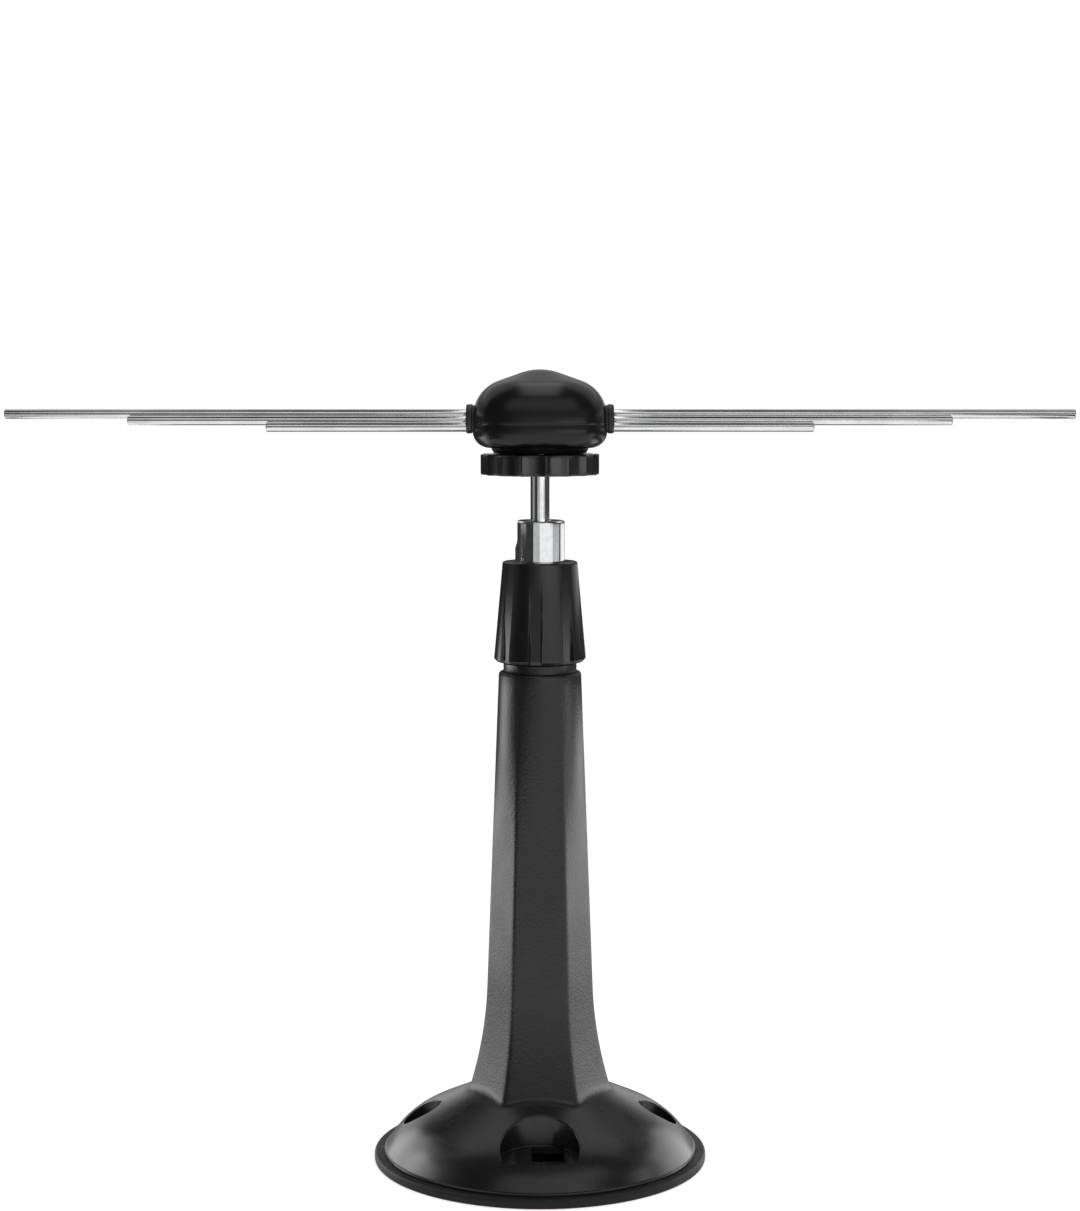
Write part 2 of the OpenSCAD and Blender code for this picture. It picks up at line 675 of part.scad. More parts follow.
module head_upper_shell() {
  crown_z = head_z + head_h;
  inner_crown_z = crown_z - shell_wall;
  rib_x = board_len / 2 + 0.5;
  rib_t = 1.4;
  post_top_z = roof_z(shell_screw_x + post_d / 3, shell_screw_y + post_d / 3) - 0.4 * shell_wall;
  board_post_top_z = roof_z(board_screw_x + 2.1, 2.1) - 0.4 * shell_wall;
  rib_top_z = roof_z(rib_x + rib_t, 5) - 0.8 * shell_wall;
  color([0.1, 0.1, 0.11]) difference() {
    union() {
      difference() {
        loft(head_rings(0, seam_z, crown_z, head_half_w, 1.5));
        head_hollow(seam_z - 0.001, inner_crown_z);
      }
      at_shell_screws() upright(0, 0, post_foot_z, post_top_z, post_d);
      for (side = [-1, 1]) {
        upright(side * board_screw_x, 0, board_top_z, board_post_top_z, 4.2);
        for (sy = [-1, 1])
          translate([side > 0 ? rib_x : -rib_x - rib_t, sy * 4 - 1, block_top_z + seat_gap])
            cube([rib_t, 2, rib_top_z - block_top_z - seat_gap]);
      }
      along_y(0, jack_seat_y - 7.5, jack_seat_y, jack_z, jack_seat_d);
    }
    along_y(0, 0, jack_seat_y + eps, jack_z, jack_shank_d + 0.3);
    along_y(0, shell_screw_y + post_d / 2 + 0.3, jack_seat_y - 3.2, jack_z, jack_flange_d + 0.4);
    at_shell_screws() upright(0, 0, post_foot_z - eps, block_top_z + 2, shell_screw_d - 2 * rod_clear);
    for (side = [-1, 1]) {
      upright(side * board_screw_x, 0, board_top_z - eps, board_top_z + 2.4, 1.9);
      grommet_neck(side, 0.05);
    }
  }
}

module boss_insert() {
  color([0.78, 0.65, 0.32]) difference() {
    upright(0, 0, boss_z + 0.05, insert_top_z, 2 * (insert_r - rod_clear));
    upright(0, 0, boss_z - eps, insert_top_z + eps, stud_d + 2 * run_clear);
  }
}

// Place of rod number i of a side, from the top and back down to the front: [y, z]
function rod_place(i) = [(1 - i) * rod_step_y, rod_z + (1 - i) * rod_step_z];

module rod_bores(side, x0, x1) {
  for (i = [0 : 2]) along_x(side * x0, side * x1, rod_place(i)[0], rod_place(i)[1], rod_d + 2 * rod_clear);
}

module grommet(side) {
  lip_t = head_half_w - grommet_neck_x;
  color([0.07, 0.07, 0.08]) difference() {
    union() {
      translate([side > 0 ? grommet_inner_x : -grommet_neck_x, 0, grommet_z])
        rotate([90, 0, 90]) linear_extrude(grommet_lip_t) rounded_rect(grommet_w, grommet_h, grommet_r);
      translate([side > 0 ? grommet_neck_x - 0.2 : -grommet_outer_x, 0, grommet_z])
        rotate([90, 0, 90]) linear_extrude(grommet_outer_x - grommet_neck_x + 0.2)
          rounded_rect(grommet_w - 2 * grommet_lip, grommet_h - 2 * grommet_lip, grommet_r - grommet_lip);
      translate([side > 0 ? head_half_w + 0.1 : -grommet_outer_x, 0, grommet_z])
        rotate([90, 0, 90]) linear_extrude(grommet_out - 0.1) rounded_rect(grommet_w, grommet_h, grommet_r);
    }
    rod_bores(side, grommet_inner_x - eps, grommet_outer_x + eps);
  }
}

module grommet_left() { grommet(-1); }
module grommet_right() { grommet(1); }

module rod(side, i, reach) {
  color([0.78, 0.78, 0.8]) along_x(side * rod_inner_x, side * reach, rod_place(i)[0], rod_place(i)[1], rod_d);
}

module rod_left_long() { rod(-1, 0, rod_long); }
module rod_left_mid() { rod(-1, 1, rod_mid); }
module rod_left_short() { rod(-1, 2, rod_short); }
module rod_right_long() { rod(1, 0, rod_long); }
module rod_right_mid() { rod(1, 1, rod_mid); }
module rod_right_short() { rod(1, 2, rod_short); }

// Where the clamp screw of rod i of a side sits along the block
function clamp_x(side, i) = side * (block_inner_x + block_end_t + 1.9 + i * 1.6);

module terminal(side) {
  color([0.72, 0.6, 0.32]) difference() {
    translate([side > 0 ? block_inner_x : -block_outer_x, -block_w / 2, block_z])
      cube([block_len, block_w, block_h]);
    rod_bores(side, rod_inner_x, block_outer_x + eps);
    for (i = [0 : 2]) upright(clamp_x(side, i), rod_place(i)[0], rod_place(i)[1], block_top_z + eps, clamp_screw_d);
  }
}

module terminal_left() { terminal(-1); }
module terminal_right() { terminal(1); }

module clamp_screws() {
  color([0.5, 0.5, 0.52]) for (side = [-1, 1], i = [0 : 2])
    upright(clamp_x(side, i), rod_place(i)[0], rod_place(i)[1] + rod_d / 2, block_top_z - 0.2,
      clamp_screw_d - 2 * rod_clear);
}

module balun_board() {
  color([0.1, 0.35, 0.18]) difference() {
    translate([-board_len / 2, -board_w / 2, board_z]) cube([board_len, board_w, board_t]);
    for (side = [-1, 1]) upright(side * board_screw_x, 0, board_z - eps, board_top_z + eps, 2.2);
  }
}

module balun_core() {
  color([0.25, 0.24, 0.24]) difference() {
    translate([-core_len / 2, -core_w / 2, board_top_z]) cube([core_len, core_w, core_h]);
    for (sy = [-1, 1]) along_x(-core_len, core_len, sy * core_w / 4, board_top_z + core_h / 2, core_hole_d);
  }
}

module board_leads() {
  jack_lead_y = 4.5;
  color([0.8, 0.45, 0.25]) {
    for (side = [-1, 1]) upright(side * lead_x, -block_w / 2 + 1.2, block_top_z, board_z, lead_d);
    upright(0, jack_lead_y, jack_z, board_z, lead_d);
    along_y(0, jack_lead_y, jack_flange_y - 2, jack_z, lead_d);
  }
}

module board_screws() {
  color([0.6, 0.6, 0.62]) for (side = [-1, 1]) {
    upright(side * board_screw_x, 0, board_z - 1.2, board_z, 3.6);
    upright(side * board_screw_x, 0, board_z - eps, board_top_z + 2.2, 1.8);
  }
}

module coax_jack() {
  end_y = jack_seat_y + jack_out;
  color([0.8, 0.8, 0.82]) difference() {
    union() {
      along_y(0, jack_flange_y - 2, end_y - eps, jack_z, jack_shank_d);
      along_y(0, jack_seat_y + jack_nut_t + seat_gap, end_y, jack_z, jack_thread_d);
      along_y(0, jack_flange_y, jack_flange_y + jack_flange_t, jack_z, jack_flange_d);
    }
    along_y(0, end_y - 6, end_y + eps, jack_z, jack_mouth_d);
  }
}

module jack_nut() {
  color([0.8, 0.8, 0.82]) difference() {
    translate([0, jack_seat_y, jack_z]) rotate([-90, 30, 0]) hex_bar(jack_nut_flats, jack_nut_t);
    along_y(0, jack_seat_y - eps, jack_seat_y + jack_nut_t + eps, jack_z, jack_shank_d + 2 * rod_clear);
  }
}

module head_screws() {
  color([0.6, 0.6, 0.62]) at_shell_screws() {
    upright(0, 0, boss_z + 0.2, boss_z + 0.2 + shell_screw_head_t, shell_screw_head_d);
    upright(0, 0, boss_z + 0.2 + shell_screw_head_t - eps, block_top_z + 1, shell_screw_d - 4 * rod_clear);
  }
}

pedestal();
base_gasket();
clamp_collar();
ball_socket();
pressure_pad();
ball_stud();
lock_knob();
knob_nut();
head_lower_shell();
head_upper_shell();
boss_insert();
grommet_left();
grommet_right();
rod_left_long();
rod_left_mid();
rod_left_short();
rod_right_long();
rod_right_mid();
rod_right_short();
terminal_left();
terminal_right();
clamp_screws();
balun_board();
balun_core();
board_leads();
board_screws();
coax_jack();
jack_nut();
head_screws();
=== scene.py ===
import math

import bpy
from bpy.props import FloatProperty, FloatVectorProperty, IntProperty, PointerProperty
from bpy.types import Operator, Panel, PropertyGroup
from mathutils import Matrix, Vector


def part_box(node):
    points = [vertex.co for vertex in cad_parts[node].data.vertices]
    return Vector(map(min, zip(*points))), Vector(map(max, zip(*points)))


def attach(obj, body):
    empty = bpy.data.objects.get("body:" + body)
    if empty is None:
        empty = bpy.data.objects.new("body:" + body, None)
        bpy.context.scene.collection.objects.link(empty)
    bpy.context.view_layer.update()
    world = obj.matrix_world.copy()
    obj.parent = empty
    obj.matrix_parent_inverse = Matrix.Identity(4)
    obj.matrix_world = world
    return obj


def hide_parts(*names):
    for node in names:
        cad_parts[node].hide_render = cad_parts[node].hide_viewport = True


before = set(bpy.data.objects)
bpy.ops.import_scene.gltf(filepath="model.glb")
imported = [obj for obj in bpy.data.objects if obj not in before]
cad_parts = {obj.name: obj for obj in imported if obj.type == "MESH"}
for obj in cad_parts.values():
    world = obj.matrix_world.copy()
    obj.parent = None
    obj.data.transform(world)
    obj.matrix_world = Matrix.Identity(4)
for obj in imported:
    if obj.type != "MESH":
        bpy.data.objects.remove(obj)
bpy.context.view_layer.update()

bl_info = {
    "name": "Indoor radio antenna",
    "version": (1, 0, 0),
    "blender": (4, 5, 0),
    "location": "View3D > Sidebar > Antenna",
    "description": "Dresses the packed antenna: base, column, ball joint, head and rods, and their stage",
    "category": "Object",
}

MM = 0.001
# A cutter reaches past what it goes through by this, or by a few times this
PAST = 1 * MM


def low(node):
    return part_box(node)[0]


def high(node):
    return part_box(node)[1]


def middle_yz(node):
    """Depth and height of a node's middle."""
    a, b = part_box(node)
    return (a.y + b.y) / 2, (a.z + b.z) / 2


# Levels that the packed model gives, from the floor up
DOME_Z = low("pedestal").z
NECK_TOP_Z = high("pedestal").z
COLLAR_Z, COLLAR_TOP_Z = low("clamp_collar").z, high("clamp_collar").z
FLANGE_Z, SOCKET_TOP_Z = low("ball_socket").z, high("ball_socket").z
STUD_TOP_Z = high("ball_stud").z
KNOB_Z, KNOB_TOP_Z = low("lock_knob").z, high("lock_knob").z
BOSS_Z, HEAD_TOP_Z = low("head_lower_shell").z, high("head_upper_shell").z


def length(name, text, value, least, most):
    """A length property: given in millimetres here, held in metres."""
    return FloatProperty(name=name, description=text, default=value * MM, min=least * MM,
                         max=most * MM, unit="LENGTH", precision=5)


def angle(name, text, degrees, least, most):
    return FloatProperty(name=name, description=text, default=math.radians(degrees),
                         min=math.radians(least), max=math.radians(most), subtype="ANGLE")


def share(name, text, value, least=0.0, most=1.0):
    return FloatProperty(name=name, description=text, default=value, min=least, max=most,
                         subtype="FACTOR", precision=3)


def colour(name, text, value):
    return FloatVectorProperty(name=name, description=text, default=value, min=0, max=1,
                               size=3, subtype="COLOR")


class BaseSizes(PropertyGroup):
    """Gasket, dome and column."""
    gasket_d: length("Gasket diameter", "Outer diameter of the soft ring under the base", 112.6, 104, 130)
    gasket_bore_d: length("Gasket opening", "Diameter of the ring's opening", 60, 40, 62)
    dome_d: length("Dome diameter", "Diameter of the dome at its lower edge", 106, 96, 110)
    edge_slope: angle("Edge slope", "Slope of the dome's outer band", 56, 48, 64)
    top_slope: angle("Top slope", "Slope of the dome's upper cone", 24.7, 20, 28)
    apex_h: length("Cone height", "Height of the upper cone where it would meet the axis", 31.4, 28, 36)
    shoulder_r: length("Shoulder radius", "Radius of the curve between the two slopes", 28, 16, 30)
    wall: length("Wall", "Wall of the dome", 3, 2, 4)
    recess_place_r: length("Recess place", "Distance of the recesses from the axis", 40, 38, 41)
    screw_recess_d: length("Screw recess", "Diameter of a screw recess", 12.7, 10, 14)
    screw_hole_d: length("Screw hole", "Diameter of a wall screw's hole", 4.6, 3, 6)
    screw_floor_t: length("Screw floor", "Thickness of the floor in a screw recess", 3.5, 2, 5)
    lead_recess_d: length("Lead recess", "Diameter of the recess at the front", 26, 18, 28)
    lead_floor_h: length("Lead floor", "Height of that recess's floor over the gasket", 8.5, 7, 10)
    lead_floor_t: length("Lead floor wall", "Thickness of that floor", 2.2, 1.6, 3)
    lead_slot_w: length("Lead slot width", "Width of the slot in that floor", 10.6, 5, 11)
    lead_slot_len: length("Lead slot length", "Length of the slot, front to back", 15.5, 6, 16)
    lead_slot_shift: length("Lead slot offset", "Sideways offset of the slot", 2.6, 0, 3)
    rim: length("Rim rounding", "Rounding of the recesses' rims", 0.55, 0.2, 0.8)
    column_top_d: length("Column top", "Diameter of the column at its round top", 27.6, 27, 32)
    column_top_h: length("Column height", "Height of the column's top over the gasket", 163.5, 120, 200)
    column_taper: share("Column taper", "Growth of the radius for each unit down", 0.038, 0.02, 0.05)
    flare_h: length("Flare height", "Height over the gasket where the foot starts to flare", 56, 45, 65)
    flare_r: length("Flare radius", "Radius of the flare's long curve", 131, 110, 180)
    foot_fillet_r: length("Foot fillet", "Radius of the fillet onto the dome", 5, 2, 9)
    hex_full_h: length("Six-sided height", "Height below which the column is six-sided", 92, 80, 100)
    round_full_h: length("Round height", "Height above which the column is round", 150, 110, 158)
    shoulder_d: length("Neck shoulder", "Diameter of the plain shoulder under the collar", 24.5, 23.6, 26)
    shoulder_h: length("Shoulder height", "Height of that shoulder", 3, 1, 5)
    neck_d: length("Neck thread", "Diameter of the neck's thread", 22.2, 21, 22.8)


class CollarSizes(PropertyGroup):
    """Clamp collar, ball socket and stud."""
    bottom_d: length("Widest", "Diameter of the collar near its lower edge", 30.8, 30, 34)
    top_d: length("Top", "Diameter of the collar at its top", 25, 25, 28)
    edge: length("Edge rounding", "Rounding of the collar's edges", 0.7, 0.3, 1.5)
    flutes: IntProperty(name="Flutes", description="Number of flutes", default=8, min=5, max=12)
    flute_w: length("Flute width", "Width of a flute", 4, 2, 5)
    flute_floor_d: length("Flute floor", "Diameter over the bottoms of the flutes", 26.4, 25, 28)
    flute_rise: share("Flute slope", "How much the floor of a flute follows the collar's own slope", 0.4)
    flute_start: angle("Flute angle", "Angle of the first flute from the front", -6, -20, 20)
    socket_d: length("Socket", "Diameter of the ball socket", 16.6, 15.8, 18)
    socket_edge: length("Socket edge", "Rounding of the socket's top edge", 0.8, 0.4, 1.5)
    ball_d: length("Ball", "Diameter of the ball", 12, 10, 12.4)
    ball_z: length("Ball height", "Height of the ball's centre over the floor", 211.3, 150, 250)
    stud_d: length("Stud", "Diameter of the stud", 6.35, 5, 8)
    slot_w: length("Tilt slot", "Width of the slot that the stud tilts into", 6.85, 6, 8)


class KnobSizes(PropertyGroup):
    """Lock knob."""
    knob_d: length("Knob", "Diameter over the ridges", 40, 34, 44)
    scallops: IntProperty(name="Scallops", description="Number of scallops", default=16, min=10, max=20)
    scallop_r: length("Scallop radius", "Radius of a scallop", 8, 6, 12)
    ridge_start: angle("Ridge angle", "Angle of the first ridge from the front", 5.5, 0, 22)
    edge: length("Edge rounding", "Rounding of the knob's edges", 0.45, 0.2, 1)


class HeadSizes(PropertyGroup):
    """Head shells, grommets, rods and aerial socket."""
    head_w: length("Width", "Width of the head", 44.7, 43, 50)
    head_depth: length("Depth", "Depth of the head, front to back", 39, 37, 44)
    head_h: length("Height", "Height of the head without its boss", 25.9, 25.5, 30)
    seam_h: length("Seam", "Height of the seam over the head's underside", 7.7, 7.4, 8)
    roof_slope: angle("Roof slope", "Slope of the roof", 19.5, 15, 22)
    shoulder_r: length("Shoulder radius", "Radius of the shoulders under the roof", 13, 8, 14)
    crown_r: length("Crown radius", "Radius of the crown", 19, 10, 24)
    edge_r: length("Lower edge", "Radius of the head's lower edge", 5.5, 4, 6)
    squareness: FloatProperty(name="Squareness", description="Squareness of the plan: 2 is an ellipse",
                              default=2.7, min=2.3, max=3.2)
    shell_wall: length("Shell wall", "Wall of the shells", 2.2, 1.6, 2.6)
    seam_round: length("Seam rounding", "Rounding of each shell's edge at the seam", 0.12, 0.05, 0.5)
    boss_top_d: length("Boss top", "Diameter of the boss at the head", 33, 32, 34)
    boss_bottom_d: length("Boss bottom", "Diameter of the boss at its lower end", 30.8, 30, 32)
    boss_h: length("Boss height", "Height of the boss", 1.8, 1, 3)
    rod_d: length("Rod", "Diameter of a rod", 3.2, 2, 3.4)
    rod_chamfer: length("Rod edge", "Rounding of a rod's end", 0.35, 0.1, 0.8)
    grommet_w: length("Grommet width", "Width of a grommet, front to back", 13.2, 12.8, 14)
    grommet_h: length("Grommet height", "Height of a grommet", 9.6, 9.4, 9.8)
    grommet_r: length("Grommet corner", "Corner radius of a grommet", 3, 2, 4)
    grommet_lip: length("Grommet lip", "How much its lips stand over its neck", 0.3, 0.2, 0.4)
    jack_thread_d: length("Aerial socket thread", "Diameter of the socket's thread", 9.5, 9, 10)
    jack_pitch: length("Aerial socket pitch", "Pitch of that thread", 0.794, 0.5, 1)
    jack_mouth_d: length("Aerial socket mouth", "Diameter of the opening in the socket's end", 6.4, 5, 7)
    jack_seat_d: length("Aerial socket seat", "Diameter of the round seat on the head", 13.8, 13, 14)
    jack_nut_flats: length("Nut flats", "Width across the flats of the socket's nut", 11, 11, 12.5)


class FinishColours(PropertyGroup):
    """Colours and gloss of the finishes."""
    black: colour("Black moulding", "Colour of the pedestal's plastic", (0.0072, 0.0072, 0.0077))
    collar_black: colour("Collar black", "Colour of the collar and the knob", (0.0068, 0.0068, 0.0073))
    head_black: colour("Head black", "Colour of the head's shells", (0.0065, 0.0065, 0.007))
    rubber: colour("Rubber", "Colour of the gasket and the grommets", (0.0125, 0.0125, 0.0132))
    plate: colour("Bright plate", "Colour of the plated socket and stud", (0.84, 0.85, 0.86))
    rods: colour("Rod plate", "Colour of the plated rods", (0.68, 0.685, 0.69))
    brass: colour("Brass", "Colour of the inserts and the terminal blocks", (0.62, 0.44, 0.17))
    zinc: colour("Zinc plate", "Colour of the screws", (0.56, 0.57, 0.58))
    nickel: colour("Nickel plate", "Colour of the aerial socket", (0.72, 0.7, 0.64))
    board: colour("Board", "Colour of the circuit board", (0.02, 0.14, 0.05))
    ferrite: colour("Ferrite", "Colour of the core", (0.05, 0.047, 0.047))
    copper: colour("Copper", "Colour of the connecting leads", (0.7, 0.33, 0.16))
    column_gloss: share("Column roughness", "Roughness of the column's faces", 0.35)
    dome_gloss: share("Dome roughness", "Roughness of the dome", 0.27)


class StageSettings(PropertyGroup):
    """Camera, lamps and floor."""
    camera_y: length("Camera distance", "Distance of the camera in front of the axis", 833, 300, 2000)
    camera_z: length("Camera height", "Height of the camera over the floor", 265.8, 50, 900)
    camera_pitch: angle("Camera pitch", "How far the camera looks down", 5.3, 0, 60)
    lens: FloatProperty(name="Lens", description="Focal length over a 36 mm long side, in millimetres",
                        default=36 * 2500 / 1211, min=20, max=200)
    side_power: FloatProperty(name="Side lamps", description="Power of each side lamp, in watts",
                              default=0.18, min=0, max=20)
    front_power: FloatProperty(name="Front lamp", description="Power of the lamp in front, in watts",
                               default=3.0, min=0, max=50)
    fill: FloatProperty(name="Fill", description="Strength of the even light from all round",
                        default=0.6, min=0, max=2)
    softbox: share("Softbox", "Brightness of the broad softbox at the front, in reflections", 0.75)
    flag: share("Flags", "Brightness of the dark cards round the object, in reflections", 0.04)


def sizes(name):
    """The values of one of the scene's property groups."""
    return getattr(bpy.context.scene, name)


# Shapes

def quarter(steps):
    """Angles from 0 to 90 degrees in equal steps, both ends with them."""
    return [math.pi / 2 * k / steps for k in range(steps + 1)]


def fixed(r, z):
    """A level that has the same (radius, height) all the way round."""
    return lambda a: (r, z)


def rounded(corners, steps=6):
    """A path (x, y) through corners (x, y, radius), with each inner corner rounded by an arc."""
    path = []
    last = len(corners) - 1
    for i, (x, y, radius) in enumerate(corners):
        if radius <= 0 or i in (0, last):
            path.append((x, y))
            continue
        ax, ay = corners[i - 1][0] - x, corners[i - 1][1] - y
        cx, cy = corners[i + 1][0] - x, corners[i + 1][1] - y
        al, cl = math.hypot(ax, ay), math.hypot(cx, cy)
        ax, ay, cx, cy = ax / al, ay / al, cx / cl, cy / cl
        half = math.acos(max(-1.0, min(1.0, ax * cx + ay * cy))) / 2
        bx, by = ax + cx, ay + cy
        bl = math.hypot(bx, by)
        mx, my = x + bx / bl * radius / math.sin(half), y + by / bl * radius / math.sin(half)
        reach = radius / math.tan(half)
        start = math.atan2(y + ay * reach - my, x + ax * reach - mx)
        turn = (math.pi - 2 * half) * (-1 if ax * cy - ay * cx > 0 else 1)
        # A point a little before and after the arc keeps its shading off the straight parts
        apart = radius / steps
        if al > reach + 2 * apart:
            path.append((x + ax * (reach + apart), y + ay * (reach + apart)))
        for k in range(steps + 1):
            a = start + turn * k / steps
            path.append((mx + radius * math.cos(a), my + radius * math.sin(a)))
        if cl > reach + 2 * apart:
            path.append((x + cx * (reach + apart), y + cy * (reach + apart)))
    return path


def rings_along_y(z, levels, points):
    """Rings about an axis along Y at the height z, through levels of (radius, y)."""
    return [[(px, y, pz) for px, pz in disc(0, z, r, points)] for r, y in levels]


def turned(path, points):
    """Rings about Z through a path of (radius, height)."""
    turn = 2 * math.pi / points
    return [[(r * math.cos(k * turn), r * math.sin(k * turn), z) for k in range(points)] for r, z in path]


def polar_rings(levels, points):
    """Rings from functions that give (radius, height) for an angle."""
    rings = []
    for level in levels:
        ring = []
        for k in range(points):
            a = 2 * math.pi * k / points
            r, z = level(a)
            ring.append((r * math.cos(a), r * math.sin(a), z))
        rings.append(ring)
    return rings


def skinned(name, rings, loop=False):
    """A closed mesh object over rings with the same number of points. loop joins the last to the first."""
    n = len(rings[0])
    count = len(rings)
    points = [p for ring in rings for p in ring]
    faces = []
    for j in range(count if loop else count - 1):
        m = (j + 1) % count
        for i in range(n):
            k = (i + 1) % n
            faces.append((j * n + i, j * n + k, m * n + k, m * n + i))
    if not loop:
        for ring, back in ((0, True), (count - 1, False)):
            centre = len(points)
            points.append(tuple(sum(p[c] for p in rings[ring]) / n for c in range(3)))
            for i in range(n):
                a, b = ring * n + i, ring * n + (i + 1) % n
                faces.append((b, a, centre) if back else (a, b, centre))
    mesh = bpy.data.meshes.new(name)
    mesh.from_pydata(points, [], faces)
    if signed_volume(mesh) < 0:
        mesh.flip_normals()
    piece = bpy.data.objects.new(name, mesh)
    bpy.context.scene.collection.objects.link(piece)
    return piece


def signed_volume(mesh):
    total = 0.0
    mesh.calc_loop_triangles()
    for tri in mesh.loop_triangles:
        a, b, c = (mesh.vertices[i].co for i in tri.vertices)
        total += a.dot(b.cross(c))
    return total


def prism(name, outline, axis, start, end):
    """A closed bar over an outline of two coordinates, along "X", "Y" or "Z" from start to end."""
    def at(u, v, w):
        return {"X": (w, u, v), "Y": (u, w, v), "Z": (u, v, w)}[axis]
    return skinned(name, [[at(u, v, w) for u, v in outline] for w in (start, end)])


def disc(x, y, radius, points=64):
    turn = 2 * math.pi / points
    return [(x + radius * math.cos(k * turn), y + radius * math.sin(k * turn)) for k in range(points)]


def rounded_box(width, height, radius, v):
    """Outline of a box with round corners, about (0, v)."""
    outline = []
    for k, (sx, sy) in enumerate(((1, 1), (-1, 1), (-1, -1), (1, -1))):
        cx, cy = sx * (width / 2 - radius), v + sy * (height / 2 - radius)
        for f in quarter(8):
            a = math.pi / 2 * k + f
            outline.append((cx + radius * math.cos(a), cy + radius * math.sin(a)))
    return outline


def combined(piece, others, operation="DIFFERENCE"):
    """Cuts the others out of the piece, or joins them to it, and removes them."""
    for other in others:
        step = piece.modifiers.new("Solid", "BOOLEAN")
        step.operation = operation
        step.solver = "EXACT"
        step.object = other
    shape = piece.evaluated_get(bpy.context.evaluated_depsgraph_get())
    mesh = bpy.data.meshes.new_from_object(shape)
    mesh.name = piece.name
    piece.modifiers.clear()
    piece.data = mesh
    for other in others:
        bpy.data.objects.remove(other)


def dressed(piece, finish, body, nodes, sharp=35):
    """Smooths the piece, gives it its finish and puts it in place of its nodes."""
    mesh = piece.data
    mesh.polygons.foreach_set("use_smooth", [True] * len(mesh.polygons))
    mesh.set_sharp_from_angle(angle=math.radians(sharp))
    mesh.materials.clear()
    mesh.materials.append(bpy.data.materials[finish])
    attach(piece, body)
    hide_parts(*nodes)


# Base and column

def dome_path(s, inset, steps=24):
    """The dome's outline (radius, height) from its lower edge up to the axis, moved in by an inset."""
    k1, k2 = math.tan(s.edge_slope), math.tan(s.top_slope)
    edge_r = s.dome_d / 2 - inset / math.sin(s.edge_slope)
    apex = s.apex_h - inset / math.cos(s.top_slope)
    corner_r = (edge_r * k1 - apex) / (k1 - k2)
    corner = (corner_r, DOME_Z + apex - corner_r * k2, s.shoulder_r - inset)
    return rounded([(edge_r, DOME_Z, 0), corner, (0, DOME_Z + apex, 0)], steps)


def dome_height(outline, r):
    """Height of the dome's outer surface at a distance from the axis."""
    for (r0, z0), (r1, z1) in zip(outline, outline[1:]):
        if r1 <= r <= r0:
            return z0 + (z1 - z0) * (r0 - r) / (r0 - r1)
    return DOME_Z


def column_r(s, z):
    """Radius of the column at a height, its flare with it, before its sides are flattened."""
    r = s.column_top_d / 2 + s.column_taper * (DOME_Z + s.column_top_h - z)
    fall = DOME_Z + s.flare_h - z
    return r + (fall * fall / (2 * s.flare_r) if fall > 0 else 0)


def hex_share(s, z):
    """How six-sided the column is at a height: 0 is round, 1 has full flats."""
    t = (DOME_Z + s.round_full_h - z) / (s.round_full_h - s.hex_full_h)
    t = min(1.0, max(0.0, t))
    return t * t * (3 - 2 * t)


# Flats and corners of the column: a higher power gives sharper corners
HEX_POWER = 34


def hex_form(a):
    """Radius of the six-sided form in the direction a, with softened corners at 1."""
    total = 0.0
    for k in range(6):
        c = math.cos(a - math.radians(30 + 60 * k))
        if c > 0:
            total += c ** HEX_POWER
    flat = math.cos(math.radians(30))
    return flat / total ** (1 / HEX_POWER) * 2 ** (1 / HEX_POWER)


def column_form_r(s, z, a):
    """Radius of the column at a height and in a direction, its flats with it."""
    return column_r(s, z) * (1 + hex_share(s, z) * (hex_form(a) - 1))


def foot_point(s, a, part):
    """A point (radius, height) of the fillet between column and dome, from its top (0) to its end (1)."""
    cone, turn, fillet = math.tan(s.top_slope), math.pi / 2 - s.top_slope, s.foot_fillet_r
    apex = DOME_Z + s.apex_h
    z = apex - column_r(s, apex) * cone
    # The fillet's top and the column's lean there depend on each other, and settle in a few rounds
    rounds = 6
    for settle in range(rounds):
        lean = math.atan(s.column_taper + max(0.0, DOME_Z + s.flare_h - z) / s.flare_r)
        r = column_form_r(s, z, a)
        end_r = r + fillet * (math.cos(lean) - math.cos(turn))
        z = apex - end_r * cone + fillet * (math.sin(turn) - math.sin(lean))
    f = lean + (turn - lean) * part
    return r + fillet * (math.cos(lean) - math.cos(f)), z - fillet * (math.sin(f) - math.sin(lean))


# The bead at the dome's lower edge: (in from the edge, up from the gasket), in millimetres
EDGE_BEAD = ((1.2, 0.0), (0.45, 0.0), (0.12, 0.1), (0.0, 0.4), (0.12, 0.72), (0.62, 0.95))
# The dome's own outline starts over this height
BEAD_CLEAR = 1.2 * MM


